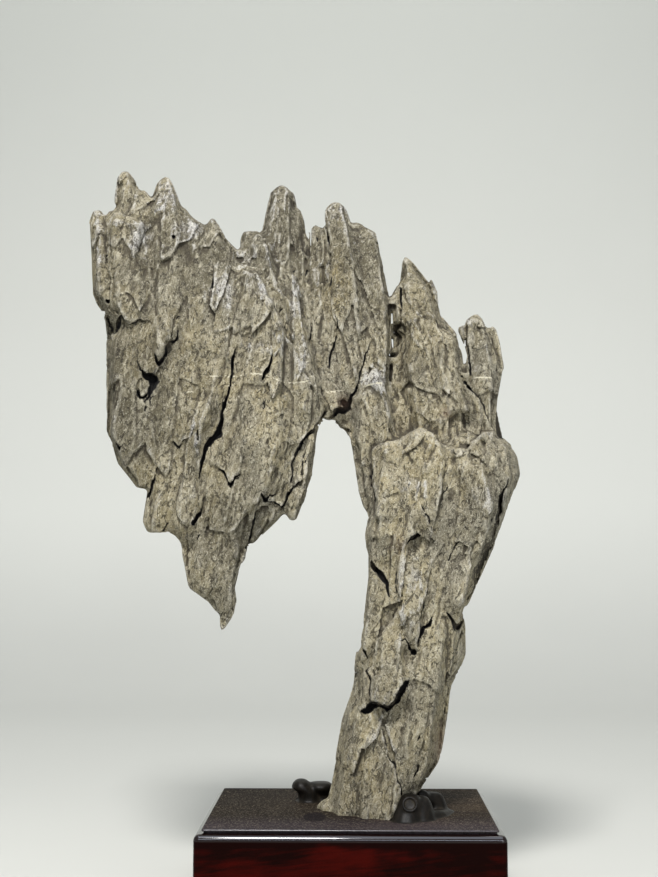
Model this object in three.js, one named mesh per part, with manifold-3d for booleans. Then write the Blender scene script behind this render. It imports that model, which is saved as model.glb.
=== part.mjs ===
// A scholar's stone of layered grey limestone on its dark hardwood stand.
// Millimetres, +Z up. The origin is the centre of the stand's underside, and the front faces -Y.
import * as THREE from "three";
import { mergeVertices } from "three/addons/utils/BufferGeometryUtils.js";
import Module from "manifold-3d";

const wasm = await Module();
wasm.setup();

// The stand: a plinth with a pocket in its top, and a carved board that sits in the pocket.
const PLINTH = { width: 252, depth: 200, height: 66.5, cornerRadius: 5, topRadius: 5, foot: 1.5 };
const BOARD = { width: 240, depth: 190, top: 70, lip: 1.8, beadRadius: 0.9, cornerRadius: 2.5 };
const TENON = { inset: 2.6, bottom: 60.3, cornerRadius: 2 };
const POCKET = { gap: 0.4, floor: 60 };
const SOCKET = { floor: 64, gap: 0.4, lift: 0.3 };
const SHARPEST_CORNER = 0.8;
const TOP_STEPS = 4;
const SWELL = 0.6;

// A block that trims the stone's foot flat, and keeps the socket above its floor.
const TRIM = { width: 600, height: 100 };

// The stone's outlines were read from in front, by an eye at this place.
// A point of an outline is given where it appears on the plane y = 0, and slides along
// its line of sight to the depth that it really has.
const EYE = new THREE.Vector3(2, -1163, 287.5);

// How far the corners of a blade's section stray: across it in half widths, and in depth as a
// share of its depth (its edges) or in millimetres (its arrises).
const ARRIS = [0.4, 0.8];
const KEEL = [-0.5, 0.5];
const NARROW = 22;
const CROWN = 0.8;
const EDGE_DEPTH = [0.3, 0.55];
const ARRIS_SET = [0.5, 4];
const COURSE_DRIFT = [-0.07, 0.07];
const WELD = 1e-4;

// Each list of blades has a seed of its own for its sections, one more for each next blade.
const SEED = {
  spires: 20, plates: 40, flank: 70, middle: 90, right: 110, head: 140, neck: 160, foot: 180, back: 200,
};

// The blades that reach down to the board besides the foot's own: [first, last + 1] in their lists.
const REACHING = { neck: [6, 7], back: [6, 8] };

// A block's section: across it in half widths, and in depth as a share of its depth.
const CORE_SECTION = [
  [-1, 0.25], [-0.8, 0], [0.8, 0], [1, 0.25],
  [1, 0.75], [0.8, 1], [-0.8, 1], [-1, 0.75],
];

// Where a crevice's mouth is and how much wider than its lips, and how far a slit runs.
const WEDGE = { mouth: -75, gape: 1.7 };
const SLIT = { front: -60, back: 90 };

function seededRandom(seed) {
  let state = seed;
  return () => {
    state = (state + 0x6d2b79f5) | 0;
    let mixed = Math.imul(state ^ (state >>> 15), 1 | state);
    mixed = (mixed + Math.imul(mixed ^ (mixed >>> 7), 61 | mixed)) ^ mixed;
    return ((mixed ^ (mixed >>> 14)) >>> 0) / 4294967296;
  };
}

function alongSight(x, y, z) {
  const reach = (y - EYE.y) / -EYE.y;
  return [EYE.x + (x - EYE.x) * reach, y, EYE.z + (z - EYE.z) * reach];
}

// Closed surface over a stack of rings with the same number of points, with a raised
// point in the middle of each end.
function knit(rings, crown = 0) {
  const count = rings[0].length;
  const points = rings.flat();
  const faces = [];
  for (let course = 0; course < rings.length - 1; course++) {
    for (let k = 0; k < count; k++) {
      const next = (k + 1) % count;
      const [a, b] = [course * count + k, course * count + next];
      const [c, d] = [a + count, b + count];
      faces.push(a, b, d, a, d, c);
    }
  }
  for (const end of [0, rings.length - 1]) {
    const ring = rings[end];
    const middle = [0, 1, 2].map((i) => ring.reduce((sum, p) => sum + p[i], 0) / count);
    const inward = rings[end === 0 ? 1 : end - 1];
    const step = middle[2] - inward.reduce((sum, p) => sum + p[2], 0) / count;
    middle[2] += Math.sign(step) * crown;
    const tip = points.push(middle) - 1;
    for (let k = 0; k < count; k++) {
      const [a, b] = [end * count + k, end * count + ((k + 1) % count)];
      faces.push(...(end === 0 ? [b, a, tip] : [a, b, tip]));
    }
  }
  const geometry = new THREE.BufferGeometry();
  geometry.setAttribute("position", new THREE.Float32BufferAttribute(points.flat(), 3));
  geometry.setIndex(faces);
  return geometry;
}

function solid(geometry) {
  const bare = geometry.clone();
  bare.deleteAttribute("normal");
  bare.deleteAttribute("uv");
  const merged = mergeVertices(bare, WELD);
  const vertProperties = merged.attributes.position.array;
  const triVerts = new Uint32Array(merged.index.array);
  const made = new wasm.Manifold(new wasm.Mesh({ numProp: 3, vertProperties, triVerts }));
  if (made.volume() > 0) return made;
  for (let i = 0; i < triVerts.length; i += 3) {
    [triVerts[i + 1], triVerts[i + 2]] = [triVerts[i + 2], triVerts[i + 1]];
  }
  return new wasm.Manifold(new wasm.Mesh({ numProp: 3, vertProperties, triVerts }));
}

function fuse(solids) {
  return solids.reduce((whole, piece) => whole.add(piece));
}

function geometryOf(manifold) {
  const mesh = manifold.getMesh();
  const geometry = new THREE.BufferGeometry();
  geometry.setAttribute("position", new THREE.BufferAttribute(mesh.vertProperties, 3));
  geometry.setIndex(new THREE.BufferAttribute(mesh.triVerts, 1));
  return geometry;
}

// One upright blade of the stone. Each row is a level of it, from the top down:
// [height, left edge, right edge, front face, back face].
// Its section has its two edges, two arrises on the face that shows (one where it is narrow),
// and a keel behind.
function blade(rows, seed, { grow = 0, facing = -1 } = {}) {
  const random = seededRandom(seed);
  const between = ([low, high]) => low + (high - low) * random();
  const turn = random() < 0.5;
  const set = between(ARRIS_SET) * -facing;
  const width = Math.max(...rows.map(([, left, right]) => right - left));
  const pair = [
    { u: -between(ARRIS), depth: 0, set: turn ? set : 0 },
    { u: between(ARRIS), depth: 0, set: turn ? 0 : set },
  ];
  const arrises = width < NARROW ? [{ u: between(KEEL), depth: 0, set: 0 }] : pair;
  const section = [
    { u: -1, depth: between(EDGE_DEPTH) },
    ...arrises,
    { u: 1, depth: between(EDGE_DEPTH) },
    { u: between(KEEL), depth: 1, set: 0 },
  ];
  const rings = rows.map(([height, left, right, front, back]) => {
    const [middle, halfWidth] = [(left + right) / 2, (right - left) / 2 + grow];
    const [face, keel] = facing < 0 ? [front - grow, back + grow] : [back + grow, front - grow];
    return section.map(({ u, depth, set }) => {
      const drift = set === undefined ? 0 : between(COURSE_DRIFT);
      const y = face + depth * (keel - face) + (set ?? 0);
      return alongSight(middle + (u + drift) * halfWidth, y, height);
    });
  });
  return solid(knit(rings, CROWN));
}

// A broad block inside the stone, which the blades stand on. Rows as above.
function core(rows, { grow = 0 } = {}) {
  return solid(knit(rows.map(([height, left, right, front, back]) => CORE_SECTION.map(([u, depth]) => {
    const [middle, halfWidth] = [(left + right) / 2, (right - left) / 2 + grow];
    const y = front - grow + depth * (back - front + 2 * grow);
    return alongSight(middle + u * halfWidth, y, height);
  }))));
}

// A crevice: a wedge with its thin edge inside the stone. Each row is a level of it:
// [height, left lip, right lip, how far back it goes]. The lips are where it meets the stone's
// face, and its mouth gapes wider in front of them.
function wedge(rows) {
  return solid(knit(rows.map(([height, left, right, depth]) => {
    const [middle, reach] = [(left + right) / 2, ((right - left) / 2) * WEDGE.gape];
    return [
      alongSight(middle - reach, WEDGE.mouth, height),
      alongSight(middle + reach, WEDGE.mouth, height),
      alongSight(middle, depth, height),
    ];
  })));
}

// A slit that daylight comes through, right through the stone. Each row: [height, left lip, right lip].
function slit(rows) {
  return solid(knit(rows.map(([height, left, right]) => [
    alongSight(left, SLIT.front, height),
    alongSight(right, SLIT.front, height),
    alongSight(right, SLIT.back, height),
    alongSight(left, SLIT.back, height),
  ])));
}

// The blocks inside the canopy, the middle peaks and the right peaks.
const cores = [
  [[582, -214, -124, -34, 12], [560, -222, -110, -45, 26], [530, -224, -66, -51, 34],
    [500, -214, -58, -53, 38], [430, -214, -38, -54, 38], [398, -210, -44, -54, 32],
    [370, -198, -50, -53, 22], [345, -176, -58, -52, 12], [318, -172, -88, -50, 4],
    [302, -146, -94, -49, -8], [270, -140, -108, -46, -20]],
  [[572, -74, -40, 0, 34], [545, -80, 28, -6, 46], [510, -78, 34, -14, 50], [470, -64, 34, -21, 50],
    [440, -54, 34, -22, 48], [418, -44, 0, -20, 36]],
  [[524, 48, 72, 4, 36], [484, 46, 94, -4, 48], [462, 44, 98, -8, 52], [420, 40, 126, -12, 54],
    [370, 14, 130, -16, 50], [330, 20, 126, -16, 46]],
];

// The hanging front of the canopy, on the left: spires along its top, overlapping plates down
// its face, and the blades that step back from it to the right. All from left to right.
const canopySpires = [
  [[604, -235, -227, -36, 0], [592, -239, -222, -46, 8], [560, -238, -218, -50, 12],
    [530, -235, -216, -52, 12], [511, -226, -210, -46, 4]],
  [[640, -209, -203, -30, -14], [634, -213, -198, -36, -8], [620, -215, -191, -40, 0],
    [604, -215, -189, -42, 4], [560, -213, -186, -44, 8]],
  [[623, -190, -187, -32, -20], [614, -195, -181, -38, -10], [590, -196, -177, -44, 0]],
  [[635, -171, -166, -26, -12], [630, -176, -163, -32, -6], [618, -179, -158, -38, 0],
    [604, -183, -153, -43, 4], [560, -185, -146, -48, 8]],
  [[606, -160, -150, -28, -6], [598, -165, -145, -35, 2], [589, -167, -131, -40, 6],
    [550, -168, -120, -50, 10]],
  [[596, -127, -123, -28, -14], [589, -132, -119, -36, -4], [576, -137, -112, -43, 4],
    [540, -142, -101, -52, 8]],
  [[575, -116, -110, -34, -14], [565, -120, -102, -43, 0], [530, -126, -92, -52, 6]],
];
const canopyPlates = [
  [[604, -221, -197, -44, -5], [592, -223, -191, -53, 5], [550, -222, -187, -57, 8],
    [520, -221, -185, -58, 8], [503, -212, -186, -57, 0]],
  [[508, -204, -188, -44, 10], [496, -212, -184, -49, 12], [484, -221, -182, -52, 13],
    [440, -220, -176, -57, 14], [400, -219, -174, -58, 12], [388, -213, -173, -58, 10],
    [372, -208, -173, -57, 6], [360, -198, -174, -55, 0], [351, -191, -178, -52, -8]],
  [[582, -174, -166, -44, -30], [560, -180, -154, -54, -20], [520, -178, -150, -58, -15],
    [494, -176, -151, -57, -20]],
  [[520, -168, -154, -56, -20], [500, -172, -155, -62, -20], [491, -170, -156, -62, -25],
    [484, -166, -159, -59, -30]],
  [[505, -178, -168, -56, -20], [485, -179, -166, -62, -20], [473, -178, -168, -61, -25],
    [465, -175, -170, -57, -30]],
  [[572, -148, -140, -46, -20], [545, -154, -126, -54, -15], [480, -152, -122, -59, -15],
    [440, -148, -122, -56, -15]],
  [[485, -166, -146, -48, -10], [455, -173, -134, -56, -8], [405, -176, -138, -59, -10],
    [384, -164, -150, -54, -20]],
  [[400, -172, -150, -50, -5], [370, -176, -140, -55, -5], [340, -182, -140, -57, -6],
    [320, -185, -146, -55, -12], [311, -181, -160, -51, -18]],
  [[372, -152, -136, -52, -10], [340, -158, -130, -59, -8], [318, -157, -134, -58, -10],
    [304, -153, -138, -54, -14]],
  [[548, -120, -112, -48, -15], [520, -126, -103, -56, -12], [485, -125, -103, -60, -14],
    [466, -122, -108, -58, -16]],
  [[476, -116, -107, -54, -20], [455, -126, -109, -61, -20], [430, -131, -112, -65, -20],
    [410, -139, -118, -66, -20], [390, -141, -130, -64, -20], [366, -138, -134, -56, -28]],
  [[505, -96, -68, -48, -5], [475, -99, -54, -58, -3], [430, -110, -44, -61, -3],
    [400, -114, -40, -61, -5], [350, -130, -54, -59, -8], [325, -130, -84, -57, -10],
    [285, -126, -97, -53, -18]],
  [[450, -88, -74, -54, -20], [420, -98, -58, -62, -20], [385, -106, -60, -64, -20],
    [350, -104, -82, -57, -24]],
  [[312, -150, -94, -52, -14], [290, -149, -96, -56, -16], [261, -143, -103, -55, -20],
    [250, -127, -101, -52, -22], [236, -116, -104, -48, -28], [224, -115, -112, -44, -36]],
];
const canopyFlank = [
  [[584, -97, -83, -18, 8], [575, -100, -76, -27, 12], [530, -98, -60, -36, 14]],
  [[580, -87, -80, -30, -5], [571, -91, -73, -40, 0], [528, -86, -57, -50, 2], [485, -72, -47, -52, 0]],
  [[553, -96, -92, -44, -10], [546, -99, -79, -52, -5], [512, -98, -63, -58, -3],
    [480, -92, -54, -57, -8]],
  [[560, -64, -52, -20, 10], [540, -62, -46, -34, 10], [490, -54, -37, -47, 5],
    [445, -46, -26, -53, -2], [425, -44, -22, -53, -4], [412, -42, -24, -48, -8]],
  [[415, -38, -26, -42, 4], [400, -44, -29, -47, 4], [360, -56, -34, -48, 0], [336, -60, -42, -46, -5],
    [322, -54, -48, -42, -10]],
  [[350, -90, -54, -44, -5], [335, -92, -54, -47, -8], [322, -90, -64, -46, -10],
    [301, -91, -86, -40, -18]],
];

// The peaks that stand behind, in the middle and on the right.
const middlePeaks = [
  [[626, -65, -59, 2, 18], [620, -72, -51, -6, 24], [606, -75, -48, -12, 30], [580, -80, -48, -18, 34],
    [530, -72, -44, -26, 36], [470, -60, -38, -30, 34]],
  [[603, -48, -44, 0, 16], [590, -50, -40, -6, 22], [560, -52, -35, -14, 28], [500, -44, -29, -24, 32],
    [455, -38, -24, -30, 30]],
  [[589, -33, -30, -4, 8], [583, -35, -22, -8, 14], [545, -36, -14, -18, 28], [440, -30, -6, -27, 30]],
  [[586, -25, -19, -4, 12], [565, -28, -12, -13, 20], [510, -28, -8, -24, 26]],
  [[610, -16, -8, -4, 12], [604, -22, -3, -10, 20], [585, -22, 3, -18, 28], [550, -19, 9, -23, 36],
    [500, -16, 12, -27, 40], [448, -8, 8, -29, 38], [432, -5, 2, -26, 34]],
  [[591, 3, 9, 2, 20], [583, 0, 24, -6, 28], [570, 2, 27, -12, 34], [528, 2, 34, -19, 40],
    [505, 3, 37, -21, 40], [440, 8, 34, -24, 38]],
  [[442, -25, -4, -27, 28], [422, -24, -7, -33, 26], [412, -22, -14, -31, 20]],
  [[432, -13, 9, -16, 32], [418, -16, 8, -18, 30], [404, -9, 4, -14, 24]],
];
const rightPeaks = [
  [[458, 18, 22, -24, 10], [448, 12, 28, -29, 16], [420, 4, 38, -35, 26], [395, 1, 43, -36, 28],
    [350, 8, 40, -34, 22], [324, 18, 26, -26, 12]],
  [[560, 50, 52, 8, 16], [556, 48, 57, 3, 20], [547, 47, 64, -2, 26], [530, 45, 77, -8, 34],
    [505, 43, 83, -13, 38], [490, 42, 96, -15, 38], [455, 40, 102, -20, 38], [430, 36, 112, -24, 36],
    [392, 44, 118, -26, 30]],
  [[533, 43, 46, 0, 14], [524, 39, 48, -5, 18], [500, 42, 52, -12, 20]],
  [[493, 85, 91, -12, 14], [484, 82, 98, -20, 18], [450, 79, 103, -26, 20], [420, 86, 108, -30, 18]],
  [[506, 112, 117, 0, 10], [501, 105, 121, -7, 20], [480, 103, 128, -15, 28], [455, 105, 131, -18, 30],
    [435, 112, 132, -20, 30], [398, 118, 131, -20, 24]],
  [[495, 127, 131, 2, 12], [488, 121, 134, -5, 18], [455, 118, 139, -13, 26], [420, 116, 136, -15, 26],
    [385, 112, 132, -17, 22]],
];

// The pillar: a block down its whole height, a broad head in front of the peaks, a fluted neck,
// and the foot in the board.
const pillarCore = [
  [398, 62, 114, -16, 20], [380, 30, 142, -42, 38], [350, 26, 143, -47, 40], [320, 24, 134, -49, 38],
  [295, 22, 122, -47, 36], [265, 24, 108, -45, 36], [240, 18, 96, -44, 36], [210, 13, 95, -44, 36],
  [180, 9, 86, -44, 38], [150, -2, 79, -44, 40], [120, -8, 76, -43, 42], [98, -10, 64, -41, 42],
  [82, -12, 48, -38, 42], [50, -12, 38, -37, 42],
];
const pillarHead = [
  [[391, 35, 50, -32, 0], [382, 22, 58, -47, 5], [345, 21, 61, -56, 8], [308, 14, 60, -58, 4],
    [297, 15, 52, -55, 0], [284, 20, 38, -50, -4]],
  [[398, 40, 53, -22, 10], [388, 36, 62, -40, 8], [366, 38, 66, -51, 6]],
  [[404, 59, 69, -28, 0], [396, 52, 78, -43, 2], [370, 58, 86, -56, 6], [330, 62, 84, -60, 6],
    [298, 74, 82, -52, -2]],
  [[352, 86, 110, -46, 0], [325, 82, 112, -52, 0], [290, 88, 106, -48, -2]],
  [[402, 88, 110, -24, 8], [393, 84, 124, -40, 10], [366, 90, 130, -54, 12], [335, 110, 131, -57, 12],
    [294, 106, 120, -47, 2]],
  [[400, 114, 129, -18, 20], [388, 112, 142, -32, 22], [360, 117, 145, -45, 24],
    [315, 114, 131, -44, 18]],
  [[392, 133, 141, -8, 20], [380, 138, 149, -18, 26], [362, 140, 152, -24, 28],
    [330, 133, 140, -24, 26], [298, 119, 128, -16, 22], [246, 96, 104, -12, 16]],
];
const pillarNeck = [
  [[300, 17, 35, -46, 0], [270, 17, 36, -49, 2], [212, 10, 34, -49, 6], [198, 9, 27, -44, 4]],
  [[302, 48, 59, -44, -5], [288, 43, 68, -56, 0], [240, 43, 67, -60, 2], [216, 47, 62, -56, 0],
    [209, 51, 60, -50, -4]],
  [[310, 66, 84, -46, 0], [280, 67, 88, -52, 4], [245, 64, 88, -53, 4], [231, 66, 84, -48, 2]],
  [[298, 90, 110, -43, 4], [282, 83, 113, -49, 6], [250, 86, 102, -52, 6], [232, 92, 97, -42, 0]],
  [[228, 28, 38, -45, -5], [214, 22, 52, -58, 0], [180, 18, 52, -63, 2], [168, 18, 48, -62, 0],
    [160, 20, 40, -57, -4]],
  [[205, 5, 13, -34, 10], [194, 4, 18, -43, 12], [165, 2, 20, -50, 12], [154, 7, 18, -45, 6]],
  [[246, 71, 81, -44, 4], [228, 61, 92, -53, 6], [180, 51, 90, -58, 8], [130, 40, 82, -57, 8],
    [110, 42, 78, -55, 6], [98, 46, 70, -53, 4], [88, 48, 63, -49, 0], [81, 51, 59, -45, -4]],
  [[238, 94, 100, -20, 16], [225, 90, 102, -30, 20], [203, 88, 102, -34, 22], [175, 83, 90, -33, 22],
    [158, 78, 85, -30, 20]],
];
const pillarFoot = [
  [[178, 4, 14, -20, 16], [150, -6, 22, -35, 28], [92, -16, 22, -38, 34], [78, -19, 20, -36, 36],
    [50, -20, 18, -36, 36]],
  [[156, 18, 42, -42, 20], [130, 8, 46, -48, 22], [92, 4, 44, -49, 26], [50, 4, 36, -50, 28]],
  [[150, 34, 62, -46, 18], [120, 33, 56, -52, 20], [84, 34, 45, -55, 20], [60, 28, 38, -56, 18]],
  [[76, -24, -12, -16, 16], [71, -29, -8, -19, 18], [60, -28, -6, -20, 18]],
];

// The back has the same upright blades, broader and plainer.
const backBlades = [
  [[596, -226, -182, -14, 18], [540, -226, -172, -8, 38], [440, -214, -168, -8, 42],
    [360, -198, -172, -10, 18]],
  [[592, -178, -146, -16, 16], [540, -182, -130, -10, 44], [420, -176, -126, -8, 42],
    [298, -150, -130, -24, -2]],
  [[572, -140, -110, -16, 18], [510, -142, -94, -10, 46], [400, -136, -92, -12, 38],
    [285, -116, -104, -30, -8]],
  [[562, -104, -56, -10, 30], [500, -104, -44, -8, 54], [420, -96, -40, -10, 44],
    [335, -84, -56, -20, 8]],
  [[562, -44, -10, 4, 42], [500, -46, -2, 6, 56], [420, -26, 0, 4, 36]],
  [[566, 2, 22, 4, 44], [500, -4, 33, 6, 56], [345, 14, 34, 0, 30]],
  [[520, 50, 74, 6, 44], [440, 44, 86, 8, 58], [290, 32, 70, 2, 46], [170, 12, 54, 4, 46],
    [50, -2, 38, 8, 50]],
  [[472, 84, 100, 6, 42], [400, 78, 120, 8, 58], [230, 58, 98, 2, 42], [150, 40, 78, 4, 46],
    [92, 30, 56, 6, 40]],
  [[470, 112, 128, 4, 36], [380, 110, 147, 6, 46], [330, 104, 137, 4, 40], [262, 90, 108, 2, 28]],
];

// The black crevices of the face, and the slits between peaks that daylight comes through.
const crevices = [
  [[509, -226, -214, -52], [500, -229, -209, -34], [493, -224, -212, -52]],
  [[458, -188, -173, -48], [449, -189, -170, -32], [438, -181, -173, -50]],
  [[441, -195, -189, -54], [434, -191, -181, -46], [427, -184, -176, -52]],
  [[464, -69, -66, -60], [456, -78, -69, -46], [450, -81, -76, -58]],
  [[492, -103, -98, -58], [460, -108, -102, -48], [432, -117, -109, -42], [405, -124, -114, -40],
    [385, -133, -125, -42], [372, -136, -131, -56]],
  [[338, -133, -130, -56], [327, -139, -131, -44], [317, -142, -137, -54]],
  [[161, 14, 30, -50], [155, 9, 39, -34], [150, 12, 24, -50]],
  [[184, 48, 52, -56], [168, 41, 48, -44], [156, 35, 42, -42]],
  [[212, 51, 60, -54], [207, 50, 61, -42], [200, 54, 60, -52]],
  [[242, 87, 91, -48], [231, 90, 99, -30], [225, 94, 99, -42]],
  [[287, 17, 21, -46], [270, 21, 30, -34], [253, 32, 36, -48]],
  [[347, 133, 137, -40], [328, 128, 134, -26], [292, 118, 123, -18], [266, 108, 113, -18]],
  [[431, -6, -1, -30], [424, -11, -1, -14], [417, -11, -4, -30]],
];
const slits = [
  [[516, 37.6, 40.4], [500, 37.4, 42], [488, 38, 43], [472, 38, 40.6]],
  [[600, -36, -34.4], [570, -36, -34.6]],
  [[514, 93, 99], [492, 98, 100.6], [480, 101, 104], [460, 102.6, 105.8]],
];

function blades(lists, firstSeed, options) {
  return lists.map((rows, k) => blade(rows, firstSeed + k, options));
}

function makeStone() {
  const body = fuse([
    ...cores.map((rows) => core(rows)),
    ...blades(canopySpires, SEED.spires),
    ...blades(canopyPlates, SEED.plates),
    ...blades(canopyFlank, SEED.flank),
    ...blades(middlePeaks, SEED.middle),
    ...blades(rightPeaks, SEED.right),
    core(pillarCore),
    ...blades(pillarHead, SEED.head),
    ...blades(pillarNeck, SEED.neck),
    ...blades(pillarFoot, SEED.foot),
    ...blades(backBlades, SEED.back, { facing: 1 }),
  ]);
  const cut = fuse([...crevices.map(wedge), ...slits.map(slit)]);
  const underside = SOCKET.floor + SOCKET.lift;
  return body.subtract(cut).subtract(trim(underside - TRIM.height / 2));
}

function trim(middle) {
  return solid(new THREE.BoxGeometry(TRIM.width, TRIM.width, TRIM.height).translate(0, 0, middle));
}

// The lower stone, a little larger all round, cuts the socket and its clearance over the carving.
function socketCutter() {
  const grow = SOCKET.gap;
  const foot = fuse([
    core(pillarCore, { grow }),
    ...blades(pillarNeck, SEED.neck, { grow }).slice(...REACHING.neck),
    ...blades(pillarFoot, SEED.foot, { grow }),
    ...blades(backBlades, SEED.back, { grow, facing: 1 }).slice(...REACHING.back),
  ]);
  const above = trim(SOCKET.floor + TRIM.height / 2);
  return foot.add(foot.translate(0, 0, -grow)).intersect(above);
}

function roundedRectangle(width, depth, radius, z, segments = 2) {
  const points = [];
  for (let corner = 0; corner < 4; corner++) {
    const [sx, sy] = [[1, 1], [-1, 1], [-1, -1], [1, -1]][corner];
    const [cx, cy] = [sx * (width / 2 - radius), sy * (depth / 2 - radius)];
    for (let k = 0; k <= segments; k++) {
      const angle = ((corner + k / segments) * Math.PI) / 2;
      points.push([cx + radius * Math.cos(angle), cy + radius * Math.sin(angle), z]);
    }
  }
  return points;
}

function makePlinth() {
  const { width, depth, height, cornerRadius, topRadius, foot } = PLINTH;
  const ring = (inset, z) => roundedRectangle(
    width - 2 * inset, depth - 2 * inset, Math.max(cornerRadius - inset, SHARPEST_CORNER), z);
  const rings = [ring(foot, 0), ring(0, foot)];
  for (let step = 0; step <= TOP_STEPS; step++) {
    const angle = (step / TOP_STEPS) * (Math.PI / 2);
    const inset = topRadius * (1 - Math.cos(angle));
    rings.push(ring(inset, height - topRadius + topRadius * Math.sin(angle)));
  }
  const play = 2 * POCKET.gap - 2 * TENON.inset;
  const pocket = knit([POCKET.floor, BOARD.top].map((z) =>
    roundedRectangle(BOARD.width + play, BOARD.depth + play, TENON.cornerRadius + POCKET.gap, z)));
  return solid(knit(rings)).subtract(solid(pocket));
}

// A carved swelling of the board. Each row is a level of it: [height, x, y, half width, half depth].
function boss(rows, sides = 10) {
  const rings = rows.map(([z, x, y, halfWidth, halfDepth]) =>
    Array.from({ length: sides }, (_, k) => {
      const angle = (k * 2 * Math.PI) / sides;
      return [x + halfWidth * Math.cos(angle), y + halfDepth * Math.sin(angle), z];
    }));
  return solid(knit(rings, SWELL));
}

// A root that runs over the board. Each stop of it:
// [x, y, height of its middle, half width, half height].
function root(stops, sides = 8) {
  const rings = stops.map(([x, y, z, halfWidth, halfHeight], k) => {
    const [from, to] = [stops[Math.max(k - 1, 0)], stops[Math.min(k + 1, stops.length - 1)]];
    const way = new THREE.Vector2(to[0] - from[0], to[1] - from[1]).normalize();
    return Array.from({ length: sides }, (_, side) => {
      const angle = (side * 2 * Math.PI) / sides;
      const out = halfWidth * Math.cos(angle);
      return [x - way.y * out, y + way.x * out, z + halfHeight * Math.sin(angle)];
    });
  });
  return solid(knit(rings));
}

// To the right of the stone's foot: a stump with a ringed knot, and two lobes behind it.
const TOP = BOARD.top;
const rightLobes = [
  [[TOP - 3, 46.5, -54, 14, 15], [TOP + 1.5, 46.5, -54, 12.7, 13.8], [TOP + 6, 47.3, -53, 11.5, 12],
    [TOP + 12, 49, -51.5, 10.3, 10], [TOP + 17, 49.7, -50, 9.3, 8.5], [TOP + 20, 49.8, -49, 7, 6]],
  [[TOP - 3, 58, -47, 15, 15], [TOP + 2, 58, -47, 13.5, 14], [TOP + 7, 57.5, -45.5, 13, 12.5],
    [TOP + 12, 57, -44, 12, 10.5], [TOP + 16, 57, -42, 9.5, 8], [TOP + 17.5, 58, -41, 6, 5]],
  [[TOP - 3, 69, -12, 17, 15], [TOP + 3, 69, -13, 15.5, 13], [TOP + 9, 68.5, -15, 14, 11],
    [TOP + 14, 68, -17, 12, 9], [TOP + 16.2, 68, -18, 9, 6]],
];
const rightRoots = [
  [[56, -27, TOP + 17, 7, 6], [64, -25, TOP + 14, 6, 6], [70, -22, TOP + 9, 5, 5]],
  [[62, -46, TOP + 2, 8, 6], [75, -33, TOP, 8, 5], [84, -18, TOP - 1, 5.5, 3.5],
    [92, -8, TOP - 2.5, 3.5, 2.5]],
  [[46, -8, TOP + 7, 8, 8], [58, 0, TOP + 6, 8, 7], [68, 10, TOP + 4, 7, 6], [76, 22, TOP - 1, 5, 4]],
];
const KNOT = { x: 49.5, y: -60.6, z: TOP + 14, radius: 5.6, rim: 0.9, tilt: 0.42, sides: 14 };
const KNOT_PLUG = { length: 6, set: 0.3, turn: 0.1 };

// To the left, behind the foot: a knob on a stem with a second one beside it.
const leftLobes = [
  [[TOP - 3, -37, 32, 13, 15], [TOP + 2, -37, 32, 10, 12], [TOP + 8, -38, 31, 9.5, 11.5],
    [TOP + 11, -42, 31, 11, 12.5], [TOP + 14, -43.7, 31, 9.3, 12], [TOP + 17.5, -44.3, 31, 6.5, 9.5],
    [TOP + 19, -44.3, 32, 4, 5]],
  [[TOP - 3, -24, 40, 12, 14], [TOP + 6, -25, 38, 9, 12], [TOP + 10, -27, 34, 12, 12],
    [TOP + 13, -27, 33, 12, 12], [TOP + 16, -27, 34, 9.5, 9]],
];
const leftRoots = [
  [[-24, 40, TOP + 7, 9, 8], [-14, 45, TOP + 5, 9, 8], [-2, 52, TOP + 1, 7, 6], [8, 58, TOP - 3, 5, 4]],
  [[-34, 40, TOP + 6, 9, 8], [-38, 50, TOP + 3, 7, 6], [-40, 60, TOP - 2, 5, 4]],
];

// The knot in the stump: a rim round a flat plug, facing forwards and a little up.
function knot() {
  const { x, y, z, radius, rim, tilt, sides } = KNOT;
  const { length, set, turn } = KNOT_PLUG;
  const ring = new THREE.TorusGeometry(radius, rim, 6, sides);
  const plug = new THREE.CylinderGeometry(radius, radius, length, sides)
    .rotateX(Math.PI / 2).rotateZ(turn).translate(0, 0, -set - length / 2);
  return [ring, plug].map((shape) =>
    solid(shape.rotateX(Math.PI / 2 - tilt).translate(x, y, z)));
}

function makeBoard(cutter) {
  const { width, depth, top, lip, beadRadius, cornerRadius } = BOARD;
  const ring = (inset, z) => roundedRectangle(
    width - 2 * inset, depth - 2 * inset, Math.max(cornerRadius - inset, SHARPEST_CORNER), z);
  const tenon = (z) =>
    roundedRectangle(width - 2 * TENON.inset, depth - 2 * TENON.inset, TENON.cornerRadius, z);
  const bead = beadRadius * (1 - Math.SQRT1_2);
  const slab = solid(knit([
    tenon(TENON.bottom), tenon(top - lip), ring(bead, top - lip), ring(0, top - lip + bead),
    ring(0, top - beadRadius), ring(bead, top - bead), ring(beadRadius, top),
  ]));
  const lobes = [...rightLobes, ...leftLobes].map((rows) => boss(rows));
  const roots = [...rightRoots, ...leftRoots].map((stops) => root(stops));
  return fuse([slab, ...lobes, ...roots, ...knot()]).subtract(cutter);
}

function place(name, manifold, color, roughness) {
  const mesh = new THREE.Mesh(
    geometryOf(manifold),
    new THREE.MeshStandardMaterial({ color, roughness, metalness: 0, flatShading: true }),
  );
  mesh.name = name;
  return mesh;
}

const stone = makeStone();
const stoneAndStand = new THREE.Group();
stoneAndStand.add(
  place("stone", stone, 0x8f866d, 0.9),
  place("carved_board", makeBoard(socketCutter()), 0x2e2822, 0.45),
  place("plinth", makePlinth(), 0x2a0d0b, 0.2),
);

export default stoneAndStand;
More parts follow.
